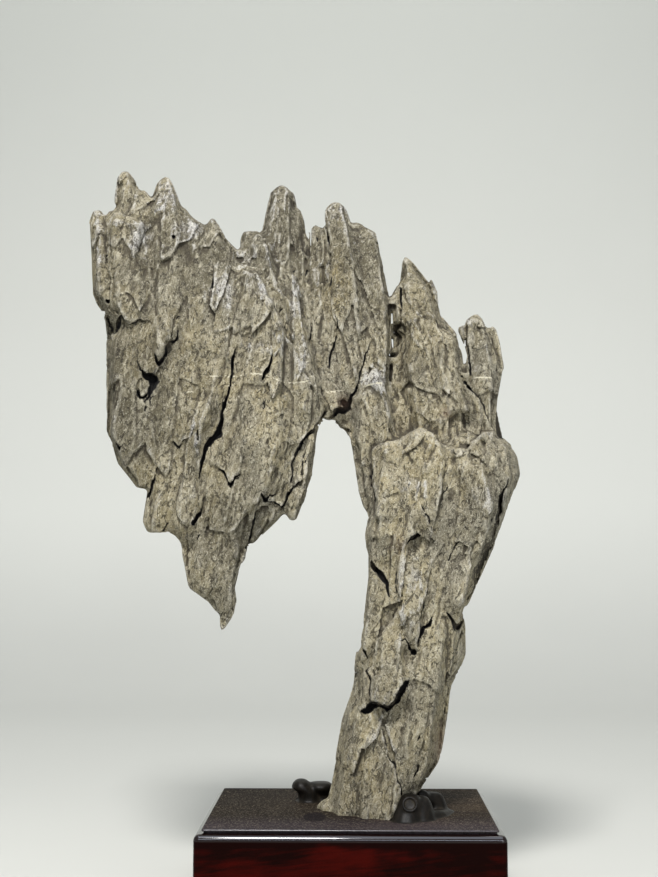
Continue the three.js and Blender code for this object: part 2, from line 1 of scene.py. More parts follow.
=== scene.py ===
import math
from itertools import product
import bpy
import numpy as np
import openvdb
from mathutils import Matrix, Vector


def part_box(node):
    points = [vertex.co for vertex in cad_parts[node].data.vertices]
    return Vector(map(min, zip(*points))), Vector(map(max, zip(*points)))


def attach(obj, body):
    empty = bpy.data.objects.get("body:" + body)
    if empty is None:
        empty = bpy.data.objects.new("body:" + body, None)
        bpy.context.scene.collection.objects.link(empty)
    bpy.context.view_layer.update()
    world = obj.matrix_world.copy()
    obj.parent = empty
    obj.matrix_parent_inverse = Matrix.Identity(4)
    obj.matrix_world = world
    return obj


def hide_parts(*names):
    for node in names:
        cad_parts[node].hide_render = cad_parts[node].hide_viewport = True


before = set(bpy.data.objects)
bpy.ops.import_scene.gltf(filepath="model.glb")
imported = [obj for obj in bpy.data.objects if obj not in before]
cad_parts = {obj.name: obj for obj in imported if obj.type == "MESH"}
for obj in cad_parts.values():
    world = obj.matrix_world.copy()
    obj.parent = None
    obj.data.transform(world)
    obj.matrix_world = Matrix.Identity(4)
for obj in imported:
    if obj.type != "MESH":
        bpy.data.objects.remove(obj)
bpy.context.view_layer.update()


# The plinth: a low wooden block, its upper edge rounded, with a shallow pocket that holds the
# board's tongue. Brush-laid red and black lacquer over the wood, rubbed to a high gloss.
PLINTH = {"width": 252, "depth": 200, "height": 66.5, "corner": 5, "round": 5, "foot": 1.5}
POCKET = {"width": 235.6, "depth": 185.6, "corner": 2.4, "floor": 60}
RED_LACQUER = (56, 8, 5)
BLACK_LACQUER = (19, 5, 4)
WORN_LACQUER = (36, 12, 9)


def tone(red, green, blue):
    """A colour as the eye reads it on a screen, 0 to 255, as the light that it reflects."""
    parts = [value / 255 for value in (red, green, blue)]
    return (*[p / 12.92 if p <= 0.04045 else ((p + 0.055) / 1.055) ** 2.4 for p in parts], 1)


def rounded_ring(width, depth, radius, z, steps=8):
    """One level of a block with rounded upright corners."""
    ring = []
    for corner, (right, back) in enumerate(((1, 1), (-1, 1), (-1, -1), (1, -1))):
        for step in range(steps + 1):
            angle = (corner + step / steps) * math.pi / 2
            ring.append((
                right * (width / 2 - radius) + radius * math.cos(angle),
                back * (depth / 2 - radius) + radius * math.sin(angle),
                z,
            ))
    return ring


def put(name, data):
    """A new object of this data in the scene."""
    thing = bpy.data.objects.new(name, data)
    bpy.context.scene.collection.objects.link(thing)
    return thing


def piece_from(name, points, faces, sharp=30):
    """A new piece from points in millimetres, smooth up to the angle of a real arris."""
    mesh = bpy.data.meshes.new(name)
    mesh.from_pydata([tuple(c / 1000 for c in p) for p in points], [], faces)
    mesh.shade_smooth()
    mesh.set_sharp_from_angle(angle=math.radians(sharp))
    return put(name, mesh)


def skin(rings):
    """Faces between levels of equal count, with a flat end at the bottom and at the top."""
    count = len(rings[0])
    faces = [tuple(reversed(range(count)))]
    for level, k in product(range(len(rings) - 1), range(count)):
        low, high, after = level * count, (level + 1) * count, (k + 1) % count
        faces.append((low + k, low + after, high + after, high + k))
    faces.append(tuple(range((len(rings) - 1) * count, len(rings) * count)))
    return [point for ring in rings for point in ring], faces


class Paint:
    """A value, colour or vector in a finish: sums add Math nodes, and add() any other node."""

    def __init__(self, tree, socket=None):
        self.tree, self.socket = tree, socket

    def feed(self, target, given):
        if isinstance(given, Paint):
            self.tree.links.new(given.socket, target)
        else:
            target.default_value = given

    def add(self, kind, settings=None, sockets=None, output=0):
        node = self.tree.nodes.new(kind)
        for name, given in (settings or {}).items():
            if name == "curve":
                curve = node.mapping.curves[0]
                for position in given[len(curve.points):]:
                    curve.points.new(*position)
                for point, position in zip(curve.points, given):
                    point.location = position
                node.mapping.update()
            else:
                setattr(node, name, given)
        for name, given in (sockets or {}).items():
            self.feed(node.inputs[name], given)
        return Paint(self.tree, node.outputs[output])

    def math(self, operation, *terms):
        return self.add("ShaderNodeMath", {"operation": operation}, dict(enumerate(terms)))

    def __add__(self, other):
        return self.math("ADD", self, other)

    def __sub__(self, other):
        return self.math("SUBTRACT", self, other)

    def __rsub__(self, other):
        return self.math("SUBTRACT", other, self)

    def __mul__(self, other):
        return self.math("MULTIPLY", self, other)

    def __truediv__(self, other):
        return self.math("DIVIDE", self, other)

    def __abs__(self):
        return self.math("ABSOLUTE", self)

    __radd__ = __add__
    __rmul__ = __mul__

    def between(self, low, high):
        """0 below low, 1 above high and a soft step from one to the other."""
        return self.add(
            "ShaderNodeMapRange", {"interpolation_type": "SMOOTHSTEP"},
            {"Value": self, "From Min": low, "From Max": high})

    def over(self, under, top):
        """The colour `top` laid over `under` where this mask is 1."""
        return self.add(
            "ShaderNodeMix", {"data_type": "RGBA"}, {0: self, 6: under, 7: top}, 2)


class Finish:
    """A material for one kind of surface, from marks whose sizes are in millimetres."""

    def __init__(self, name, roughness=0.5, coat_roughness=0.03, specular=0.5):
        self.material = bpy.data.materials.new(name)
        self.material.use_nodes = True
        self.shader = self.material.node_tree.nodes["Principled BSDF"]
        self.shader.inputs["Roughness"].default_value = roughness
        self.shader.inputs["Coat Roughness"].default_value = coat_roughness
        self.shader.inputs["Specular IOR Level"].default_value = specular
        self.paint = Paint(self.material.node_tree)
        self.place = self.paint.add("ShaderNodeTexCoord", output="Object")

    def spot(self, size, stretch, shift, lean):
        """The place on the piece, measured in marks that lean `lean` radians in the face."""
        scale = tuple(1000 / (size * part) for part in stretch)
        leant = self.paint.add(
            "ShaderNodeMapping", None, {"Vector": self.place, "Rotation": (0, lean, 0)})
        return self.paint.add(
            "ShaderNodeMapping", None,
            {"Vector": leant, "Scale": scale, "Location": (shift, shift * 0.7, -shift)})

    def marks(
            self, size, stretch=(1, 1, 1), detail=2.0, rough=0.5, shift=0.0, lean=0.0,
            twist=0.0):
        """Cloudy marks `size` across, drawn out by `stretch`."""
        return self.paint.add("ShaderNodeTexNoise", None, {
            "Vector": self.spot(size, stretch, shift, lean), "Scale": 1.0,
            "Detail": detail, "Roughness": rough, "Distortion": twist})

    def axis(self, name):
        """The place on the piece along x, y or z, in metres."""
        return self.paint.add("ShaderNodeSeparateXYZ", None, {"Vector": self.place}, name)

    def bump(self, height, depth, under=None):
        """Raises the surface by `depth` millimetres where height is 1."""
        sockets = {"Height": height, "Distance": depth / 1000, "Strength": 1.0}
        if under is not None:
            sockets["Normal"] = under
        return self.paint.add("ShaderNodeBump", None, sockets)

    def lay(self, **sockets):
        for name, given in sockets.items():
            self.paint.feed(self.shader.inputs[name.replace("_", " ")], given)
        return self.material


def make_plinth():
    foot = PLINTH["foot"]
    levels = [(foot, 0), (foot * 0.3, foot * 0.3), (0, foot)]
    turn = 10
    for step in range(turn + 1):
        angle = step / turn * math.pi / 2
        levels.append((
            PLINTH["round"] * (1 - math.cos(angle)),
            PLINTH["height"] - PLINTH["round"] * (1 - math.sin(angle)),
        ))
    rings = [
        rounded_ring(
            PLINTH["width"] - 2 * inset, PLINTH["depth"] - 2 * inset,
            max(PLINTH["corner"] - inset, 1.2), z)
        for inset, z in levels
    ]
    rings += [
        rounded_ring(POCKET["width"], POCKET["depth"], POCKET["corner"], z)
        for z in (PLINTH["height"], POCKET["floor"])
    ]
    return piece_from("plinth_block", *skin(rings))


def lacquer_finish():
    finish = Finish("red_black_lacquer", specular=0.02, coat_roughness=0.09)
    cloud = finish.marks(46, (1.5, 1.5, 0.8), detail=3, rough=0.55, shift=3.1, twist=0.6)
    streak = finish.marks(9, (5, 5, 0.5), detail=4, rough=0.6, shift=1.7, lean=0.12, twist=0.4)
    speck = finish.marks(1.6, detail=1, shift=5)
    height = finish.axis("Z")
    right = finish.axis("X").between(-0.02, 0.09)
    high = height.between(0.054, 0.06)
    red = (cloud * 0.8 + streak * 0.5 - right * 0.13 - high * 0.2).between(0.46, 0.78)
    ground = red.over(tone(*BLACK_LACQUER), tone(*RED_LACQUER))
    worn = (streak * 0.6 + speck * 0.4).between(0.6, 0.72) * 0.5
    colour = worn.over(ground, tone(*WORN_LACQUER))
    waves = finish.bump(finish.marks(16, (3, 3, 1), detail=2, shift=8), 0.25)
    brushed = finish.bump(streak, 0.08, waves)
    polished = height.between(0.0605, 0.0625)
    return finish.lay(
        Base_Color=colour, Roughness=0.2 + speck * 0.2, Coat_Weight=polished, Normal=brushed)


plinth = make_plinth()
plinth.data.materials.append(lacquer_finish())
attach(plinth, "root")
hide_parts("plinth")


# The board: one plank of dark hardwood with a thin bead round its edge, its tongue let into
# the plinth's pocket. The face is stippled with a punch and left matt, the bead is polished.
# Its colour carries painted light: painted shade in the stipple's pits, painted highlights on
# its raised points and a painted sheen along the front.
BOARD = {"width": 240, "depth": 190, "top": 70, "lip": 1.8, "bead": 0.9, "corner": 2.5}
TONGUE = {"width": 234.8, "depth": 184.8, "corner": 2, "bottom": 60.3}
BOARD_BROWN = (60, 50, 39)
BOARD_DARK = (30, 25, 21)
# Painted sheen: the plum tone of a reflection along the front of the board's face.
BOARD_SHEEN_TONE = (60, 54, 60)
# Painted highlights: the pale tone of glints on the stipple's raised points.
BOARD_GLINT_TONE = (122, 112, 100)
# A dark oval spot on the board's face, in front of the stone.
DARK_OVAL = {"x": -30, "y": -42.5, "across": 20, "deep": 40}


def make_board():
    top, lip, bead = BOARD["top"], BOARD["lip"], BOARD["bead"]
    rings = [
        rounded_ring(TONGUE["width"], TONGUE["depth"], TONGUE["corner"], z)
        for z in (TONGUE["bottom"], top - lip)
    ]
    turn = 8
    for step in range(turn + 1):
        angle = (step / turn - 0.5) * math.pi
        inset = bead * (1 - math.cos(angle))
        rings.append(rounded_ring(
            BOARD["width"] - 2 * inset, BOARD["depth"] - 2 * inset,
            BOARD["corner"] - inset, top - bead + bead * math.sin(angle)))
    return piece_from("board_slab", *skin(rings))


def board_finish():
    finish = Finish("stippled_hardwood", specular=0.02, coat_roughness=0.22)
    stipple = finish.marks(1.5, detail=3, rough=0.7)
    figure = finish.marks(10, (5, 1, 1), detail=3, shift=2.2)
    drift = finish.marks(60, (1, 1, 1), detail=2, shift=6.5)
    across, back, height = finish.axis("X"), finish.axis("Y"), finish.axis("Z")
    front = 1 - back.between(-0.085, -0.03)
    level = height.between(0.06985, 0.06997)
    brown = (drift * 0.6 + figure * 0.4).between(0.35, 0.65).over(
        tone(*BOARD_DARK), tone(*BOARD_BROWN))
    brown = ((1 - across.between(-0.07, 0.07)) * 0.8).over(brown, tone(22, 19, 15))
    # Painted sheen: the front of the face turns plum, as a reflection would.
    sheen = (front * (0.4 + drift * 0.6)).over(brown, tone(*BOARD_SHEEN_TONE))
    # Painted shade in the stipple's pits, the low places of its bump.
    pit_shade = (1 - stipple.between(0.36, 0.5)) * 0.7
    pitted = pit_shade.over(sheen, tone(26, 21, 18))
    # Painted highlights on the raised points of the stipple, on the flat face only.
    fleck = stipple.between(0.54, 0.64) * 0.7 * level
    glinted = fleck.over(pitted, tone(*BOARD_GLINT_TONE))
    # The dark oval spot, laid over the face's colour.
    side = (across - DARK_OVAL["x"] / 1000) / (DARK_OVAL["across"] / 2000)
    deep = (back - DARK_OVAL["y"] / 1000) / (DARK_OVAL["deep"] / 2000)
    oval = 1 - (side * side + deep * deep + (stipple - 0.5) * 0.3).between(0.75, 1.15)
    colour = (oval * 0.75).over(glinted, tone(22, 18, 22))
    beaded = (1 - level) * height.between(0.0682, 0.0688)
    normal = finish.bump(stipple * level, 0.5)
    return finish.lay(
        Base_Color=colour, Roughness=0.5 + stipple * 0.3, Coat_Weight=beaded, Normal=normal)


board = make_board()
board.data.materials.append(board_finish())
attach(board, "root")
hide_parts("carved_board")


# The carving: lobes, a ringed knot and roots, cut from the same plank as the board round the
# stone's foot, which they hold upright. Their dark wood is smoothed by hand to a satin.
CARVING_GRAIN = 0.8
CARVING_ROUND = 1.3
CARVING_FILLET = 5.0
CARVING_CUT = 0.5
CARVING_SUNK = 1.2
CARVING_SPREAD = 8
RING_FILLET = 0.7
CARVING_BLACK = (20, 18, 15)
# Lighter tone of the convex edges: partly wear, partly painted highlight.
CARVING_WEAR_AND_HIGHLIGHT = (60, 55, 45)
KNOT_RING = {"x": 49.5, "y": -60.9, "z": 84, "radius": 5.6, "rim": 1.05, "tilt": 0.42}


def corners_of(mesh):
    """The points, in millimetres, and triangles of a mesh."""
    mesh.calc_loop_triangles()
    points = np.empty(len(mesh.vertices) * 3, np.float32)
    mesh.vertices.foreach_get("co", points)
    faces = np.empty(len(mesh.loop_triangles) * 3, np.int32)
    mesh.loop_triangles.foreach_get("vertices", faces)
    return points.reshape(-1, 3) * 1000, faces.reshape(-1, 3).astype(np.uint32)


class Block:
    """Distances to a piece's surface on a lattice, below nought inside it, in millimetres."""

    def __init__(self, points, triangles, quads=None, step=1.0, band=5.0):
        self.step = step
        lattice = openvdb.createLinearTransform(voxelSize=step)
        self.grid = openvdb.FloatGrid.createLevelSetFromPolygons(
            points, triangles, quads, lattice, band)

    def offset(self, distance, band=5.0):
        """The block with its surface moved outwards."""
        points, triangles, quads = self.grid.convertToPolygons(isovalue=distance)
        return Block(points, triangles, quads, self.step, band)

    def spread(self):
        """The block with its distances laid out in one array, `depth`."""
        low, high = self.grid.evalActiveVoxelBoundingBox()
        self.low = np.array(low)
        self.depth = np.zeros(tuple(np.array(high) - self.low + 1), np.float32)
        self.grid.copyToArray(self.depth, ijk=tuple(int(v) for v in self.low))
        return self

    def axes(self):
        """The x, y and z of the lattice, each shaped to combine with the others."""
        x, y, z = [
            (start + np.arange(count, dtype=np.float32)) * self.step
            for start, count in zip(self.low, self.depth.shape)
        ]
        return x[:, None, None], y[None, :, None], z[None, None, :]

    def places(self, chosen):
        """The chosen places of the lattice: their numbers and their points."""
        near = np.flatnonzero(chosen.ravel())
        index = np.unravel_index(near, self.depth.shape)
        return near, np.stack([
            ((cell + low) * self.step).astype(np.float32)
            for cell, low in zip(index, self.low)], 1)

    def softened(self, radius):
        """The distances averaged over about `radius` each way."""
        soft = self.depth
        reach = max(1, round(radius / self.step))
        for axis in range(3):
            wide = np.concatenate([
                np.repeat(np.take(soft, [0], axis), reach + 1, axis),
                soft,
                np.repeat(np.take(soft, [-1], axis), reach, axis),
            ], axis)
            total = np.cumsum(wide, axis, dtype=np.float64)
            count = 2 * reach + 1
            ends = np.arange(count, total.shape[axis])
            soft = ((np.take(total, ends, axis) - np.take(total, ends - count, axis)) / count)
            soft = soft.astype(np.float32)
        return soft

    def polygons(self, adaptivity=0.0):
        grid = openvdb.FloatGrid(float(self.depth.max()))
        grid.transform = openvdb.createLinearTransform(voxelSize=self.step)
        grid.copyFromArray(self.depth, ijk=tuple(int(v) for v in self.low))
        return grid.convertToPolygons(isovalue=0.0, adaptivity=adaptivity)


def piece_of_polygons(name, points, triangles, quads):
    """A piece from the polygons that a block gives."""
    mesh = bpy.data.meshes.new(name)
    corners = np.concatenate([triangles[:, ::-1].ravel(), quads[:, ::-1].ravel()]).astype(np.int32)
    sizes = np.concatenate([np.full(len(triangles), 3), np.full(len(quads), 4)]).astype(np.int32)
    mesh.vertices.add(len(points))
    mesh.vertices.foreach_set("co", (points / 1000).astype(np.float32).ravel())
    mesh.loops.add(len(corners))
    mesh.loops.foreach_set("vertex_index", corners)
    mesh.polygons.add(len(sizes))
    starts = np.concatenate([[0], np.cumsum(sizes)[:-1]]).astype(np.int32)
    mesh.polygons.foreach_set("loop_start", starts)
    mesh.update(calc_edges=True)
    mesh.validate()
    return put(name, mesh)


def melt(one, other, width):
    """The union of two shapes with a fillet about `width` wide where they meet."""
    blend = np.clip(0.5 + 0.5 * (other - one) / width, 0, 1)
    return other + (one - other) * blend - width * blend * (1 - blend)


def make_carving():
    plank = Block(*corners_of(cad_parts["carved_board"].data), step=CARVING_GRAIN).spread()
    top = BOARD["top"]
    plank.depth = np.maximum(plank.depth, top + CARVING_CUT - plank.axes()[2])
    block = Block(*plank.polygons(), CARVING_GRAIN, 14).spread()
    x, y, z = block.axes()
    lobes = block.softened(CARVING_ROUND)
    face = np.broadcast_to(z - (top - CARVING_CUT), lobes.shape)
    shape = melt(lobes, face, CARVING_FILLET)
    ring = KNOT_RING
    tilt = ring["tilt"]
    out = (y - ring["y"]) * -math.cos(tilt) + (z - ring["z"]) * math.sin(tilt)
    up = (y - ring["y"]) * math.sin(tilt) + (z - ring["z"]) * math.cos(tilt)
    round_ring = np.hypot(np.hypot(x - ring["x"], up) - ring["radius"], out) - ring["rim"]
    shape = melt(shape, np.broadcast_to(round_ring, shape.shape), RING_FILLET)
    shape = np.maximum(shape, lobes - CARVING_SPREAD)
    block.depth = np.maximum(shape, top - CARVING_SUNK - z).astype(np.float32)
    return piece_of_polygons("board_carving", *block.polygons(0.02))


def carving_finish():
    finish = Finish("rubbed_hardwood", specular=0.12)
    figure = finish.marks(5, (1, 1, 3), detail=3, shift=4.2, twist=0.5)
    fine = finish.marks(1.2, detail=2, shift=1.1)
    # Lighter on the convex edges: partly wear, partly painted highlight.
    wear_and_highlight = finish.paint.add("ShaderNodeNewGeometry", output="Pointiness").between(0.505, 0.56)
    colour = wear_and_highlight.over(
        (figure * 0.7 + fine * 0.3).between(0.4, 0.65).over(
            tone(*CARVING_BLACK), tone(32, 28, 23)),
        tone(*CARVING_WEAR_AND_HIGHLIGHT))
    normal = finish.bump(figure * 0.6 + fine * 0.4, 0.25)
    return finish.lay(Base_Color=colour, Roughness=0.34 + fine * 0.2, Normal=normal)


carving = make_carving()
carving.data.shade_smooth()
carving.data.materials.append(carving_finish())
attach(carving, "root")
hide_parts("carved_board")


# The stone: one grey limestone, split by weather into thin upright layers, whose broken edges,
# flakes and cracks cover it. It is dry and matt, and its foot is let into the board.
STONE_GRAIN = 1.1
NARROW_FILL = 3.0
FACE_FILL = {"radius": 8.0, "step": 1.8, "clear": 3, "grip": 7, "proud": 0.35, "kept": 12}
STONE_TRIANGLES = 196000
STONE_BOX = [tuple(c * 1000 for c in corner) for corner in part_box("stone")]
EYE = (2.0, -1163.0, 287.5)
CHART = {"left": -246, "low": 54, "cell": 0.5, "across": 830, "up": 1190, "coarse": 4}
FACE_DEPTH = (9, 15)
EDGE_THICKNESS = 9.0
EDGE_SOFT = 13
EDGE_ROOM = 33
EDGE_GRIP = 9
WEATHER_REACH = 6.5
RELIEF_LIMIT = {"at_outline": 0.35, "further_in": 4.2, "room": 8}
CRACK_DEPTH = {"least": 4, "by_width": 5, "most": 16}
# How far the painted shade in the cracks follows the face as it turns from the viewer.
CRACK_SHADE_FACING = {"from": 0.2, "over": 0.3}
LINE = {"turns_in": 0.4, "runs_out": 5}
SWELLS = {"wide": 6.0, "fine": 2.2}


def blended(values, shape, cells, part):
    """The values of a lattice at free points, from the eight corners round each point."""
    total = 0
    for corner in product((0, 1), repeat=3):
        index = 0
        weight = 1
        for axis, step in enumerate(corner):
            index = index * shape[axis] + cells[axis][step]
            weight = weight * (part[:, axis] if step else 1 - part[:, axis])
        total = total + values[index] * weight
    return total


def mottle(at, size, seed):
    """Smooth random values from -1 to 1 in swells of `size`, for points `at`."""
    side = 64
    lattice = np.random.default_rng(seed).uniform(-1, 1, side ** 3).astype(np.float32)
    spot = at / np.float32(size)
    cell = np.floor(spot)
    part = spot - cell
    part *= part * (3 - 2 * part)
    cell = cell.astype(np.int32).T
    cells = [(c & (side - 1), (c + 1) & (side - 1)) for c in cell]
    return blended(lattice, (side,) * 3, cells, part)


def chips(at, size, seed, droop):
    """Broken layers: the height of the nearest of many scattered chips, lower ends proud."""
    side = 64
    random = np.random.default_rng(seed)
    jitter = random.uniform(0.22, 0.78, (3, side ** 3)).astype(np.float32)
    height = random.uniform(-1, 1, side ** 3).astype(np.float32)
    slope = random.uniform(-0.8, 0.8, side ** 3).astype(np.float32)
    spot = at / np.array(size, np.float32)
    home = np.floor(spot - 0.5).astype(np.int32)
    nearest = np.full(len(at), 99, np.float32)
    level = np.zeros(len(at), np.float32)
    for corner in product((0, 1), repeat=3):
        cell = home + np.array(corner, np.int32)
        index = ((cell[:, 0] & (side - 1)) * side + (cell[:, 1] & (side - 1))) * side
        index += cell[:, 2] & (side - 1)
        away = [spot[:, axis] - cell[:, axis] - jitter[axis][index] for axis in range(3)]
        far = away[0] ** 2 + away[1] ** 2 + away[2] ** 2
        closer = far < nearest
        nearest = np.where(closer, far, nearest)
        level = np.where(
            closer, height[index] + slope[index] * away[0] - droop * away[2], level)
    return level


def lean_of(x, z):
    """How far the layers lean to the right for each unit of height."""
    head = np.clip((z - 380) / 60, 0, 1) * np.clip((x + 70) / 50, 0, 1)
    pillar = np.clip((420 - z) / 60, 0, 1) * np.clip((x + 40) / 40, 0, 1)
    return 0.22 - 0.5 * head - 0.06 * pillar


# Each line of the stone's face: [step, fade, stops]. A stop is [across, height, half width] in
# the picture plane through the middle of the stand. The side to the right of the line's way
# stands proud by step, fading with distance; where the width isn't nought, a crack opens.
LEDGES = [
    [1.5, 9, [(-217, 515, 0), (-218.5, 528, .7), (-218, 541, .5), (-221, 552, 0), (-222, 600, 0)]],
    [1.4, 9, [(-188, 592, 0), (-186, 575, .2), (-184, 560, .3), (-180, 540, .1), (-178, 525, .3),
        (-177, 510, .4), (-172, 490, 0), (-168, 480, 0)]],
    [2.4, 9, [(-184, 502, .4), (-186.7, 502.7, 1), (-190, 503, .8), (-200, 499, .6),
        (-208, 507, .7), (-215, 495, .8), (-220, 506, .5)]],
    [2.5, 10, [(-156.3, 494.5, .5), (-156.6, 486.3, 1.5), (-159.2, 482.3, 1.6),
        (-163, 483.4, .8)]],
    [2.5, 10, [(-166.2, 479.7, .6), (-166.6, 472.3, 1.4), (-169.6, 465.6, 2.2),
        (-172.6, 462.6, 2.2), (-175.3, 465.6, 1.4), (-175.8, 472.3, .5)]],
    [1.5, 9, [(-177.8, 412.5, .3), (-175.4, 396.5, .4), (-173.8, 374.1, .5), (-173, 367.7, .8),
        (-177.8, 351.7, 1.4), (-180.2, 342.1, 1.6)]],
    [1.8, 8, [(-139.4, 406.1, .8), (-142.6, 398.1, .9), (-149.8, 392.5, .6), (-153, 386.1, 1.1),
        (-158.6, 390.9, .8)]],
    [1.2, 12, [(-103, 475.2, 1), (-105.8, 466.3, 1.8), (-106.6, 450.9, 1.4), (-110.6, 433.3, 1.6),
        (-113.8, 423.7, 2.4), (-115.4, 415.7, 1.2), (-114.6, 409.3, 2), (-117.8, 399.7, 4),
        (-125.8, 391.7, 3), (-130.6, 383.7, 2), (-133, 372.5, 2.2), (-134.6, 359.7, .6),
        (-133.8, 351.7, .4)]],
    [2, 10, [(-98.6, 362.9, .6), (-102.6, 359.7, 1.2), (-105.8, 351.7, 1.8), (-109, 354.9, 1.2),
        (-113.8, 365.3, .9), (-117.8, 367.7, .6)]],
    [2.5, 12, [(-131.4, 342.1, .5), (-133, 330.9, 1), (-136.2, 324.5, 2.6), (-140.2, 318.1, 1.8)]],
    [3, 10, [(-81, 337.3, .8), (-84.2, 326.1, .8), (-88.2, 310.1, 1.2), (-90.6, 297.3, 1.4),
        (-94.6, 282.9, 1.5), (-98.6, 276.5, .6)]],
    [2, 9, [(-44.2, 356.5, 1.3), (-49, 351.7, 1), (-54.6, 344.5, 1.6), (-57, 338.9, 1),
        (-61.8, 332.5, 1.4), (-68.2, 337.3, 1), (-75.4, 337.3, .5)]],
    [3, 14, [(-23.4, 418.1, 1.2), (-27.4, 408.5, 1.6), (-33, 401.3, 2.2), (-37.8, 398.1, 1.6),
        (-42.6, 391.7, 1.6), (-46.6, 383.7, 1.2), (-50.6, 374.1, .8), (-51.4, 366.1, 1),
        (-53, 354.9, .9)]],
    [2, 9, [(-69.5, 475.2, .7), (-71, 464, 1.5), (-74.5, 456, 2.8), (-79, 449.5, 1.8)]],
    [1, 9, [(-125.1, 559.8, .4), (-125.1, 547.9, .5), (-123.6, 539, .8), (-124.4, 531.6, .7)]],
    [3, 16, [(-95.4, 547.9, 0), (-83.6, 545, 0), (-77.6, 536, .2), (-70.2, 521.2, .3),
        (-65.8, 509.4, .4), (-59.9, 499, .4)]],
    [2.5, 12, [(-59.9, 499, .3), (-56.9, 485.6, .3), (-51, 481.2, .2), (-45, 464.8, .2),
        (-39, 451.5, .3), (-27.2, 436.6, .3)]],
    [2, 10, [(-76, 571.7, .2), (-71.7, 553.9, .3), (-64.3, 533, .3), (-52.4, 516.8, .3)]],
    [1.2, 8, [(-49.4, 542, .3), (-36, 506.4, .3), (-34.6, 494.5, .8), (-36, 485.6, 1.2),
        (-37.6, 481.2, .6)]],
    [2, 10, [(-21, 599.4, .5), (-21, 585.8, .9), (-18.7, 575.2, 1.2), (-18, 564.5, .5),
        (-17.2, 544.8, .4)]],
    [1.5, 10, [(19.3, 482.6, .5), (14.8, 473.7, .8), (12.7, 468.3, 1), (12.1, 461.1, 1),
        (9.5, 452.2, 1), (5.9, 439.6, 1.3), (.5, 428.9, 1.8), (-1.3, 422.6, 2.5), (-5.7, 419, 3.5),
        (-10.4, 420.6, 3), (-15.7, 413, 2), (-20.2, 410, 1.4)]],
    [1.8, 10, [(-.5, 423.6, .3), (11.6, 440.3, .3), (21, 457, .2), (25.2, 457, .2),
        (32.7, 439.6, .3), (36.3, 427, .3), (38.9, 409, .3)]],
    [1.5, 8, [(47.5, 510.4, .8), (47.9, 518.5, 1.6), (46, 525.6, 1.4), (45.7, 534.6, .6)]],
    [1.5, 7, [(101.4, 486.2, .8), (105.9, 477.2, 1.4), (108.6, 468.3, 1), (107.7, 462.9, 1.4),
        (108.6, 451.2, 1.2)]],
    [2, 8, [(103.2, 445, 1.6), (107.7, 438.7, 1.4), (114.8, 432.5, 1), (120.2, 423.5, .9),
        (123.7, 412.7, .7), (125.5, 405.6, .5)]],
    [6, 16, [(22.3, 326, 1), (23.2, 340, 1.6), (20.5, 350.7, 1.2), (20, 366, .6), (20, 385, .4),
        (25.8, 388.7, .3), (34.4, 390.7, 0), (44.5, 393.3, 0), (54.2, 400.2, 0), (63.3, 403.9, .3),
        (72.7, 400.3, .4), (79.7, 390.9, .6), (86.7, 387.5, .4), (95.3, 384.8, 0), (105.4, 385, 0),
        (112.4, 392.9, 0), (119.6, 400.2, .3), (127, 400, 0)]],
    [1.5, 10, [(81.5, 320, .3), (82.2, 338.3, .7), (83.1, 343.6, 1), (86.6, 349, 1),
        (94.5, 353.9, .5)]],
    [2, 9, [(63.2, 307.5, 1), (60.4, 309.3, 1.5), (58.6, 306.6, 2), (53, 303.8, 1.5),
        (49.4, 298.4, 1)]],
    [1.5, 9, [(62, 338, .5), (67.4, 327.7, 1), (71.8, 318.8, 1), (75.1, 310.3, .8),
        (78.8, 302.9, .5)]],
    [2.5, 10, [(42.4, 256.2, 1), (41.1, 266.3, 1), (42, 273.6, .8), (42.9, 284.6, .4),
        (45.7, 295.6, .3)]],
    [2, 10, [(78.8, 291, .4), (73.3, 282.8, .7), (70.5, 273.6, .7), (68.1, 255.3, .6),
        (65.5, 247.2, .7), (63.6, 237.1, .7), (62.7, 231.6, .5), (61.7, 218.9, 1.3),
        (60.8, 209.8, 1.2)]],
    [2, 9, [(99.4, 224.3, .6), (96.6, 217, 1), (92.7, 204.4, .7), (89.8, 189.8, .8),
        (87, 175.3, .8), (84, 157.3, 1), (83, 151.8, 1.2)]],
    [4, 13, [(17.9, 160.7, .5), (17, 182.5, 1), (14.3, 188, 1), (19.8, 191.6, .4),
        (20.7, 202.5, .3), (23.4, 214, .3), (29.8, 223.6, .2), (36.8, 231.7, .2),
        (41.9, 239.7, 0)]],
    [3, 12, [(51.5, 179, 1.5), (46.9, 173.5, 3), (42.3, 164.4, 2.5), (36.8, 157.2, 2),
        (32.2, 154.5, 2.5), (26.7, 159, 1.5), (19.3, 158.1, 3.5), (15.7, 153.6, 4),
        (11.1, 152.7, 2)]],
    [1, 8, [(24.9, 150.3, .3), (27.6, 139.6, .5), (30.4, 128.9, .7), (34.9, 112.9, .6),
        (39.5, 107.5, 1.4), (40.4, 99.5, .5), (43.1, 89.7, 1), (44.9, 80.8, 1.6)]],
]

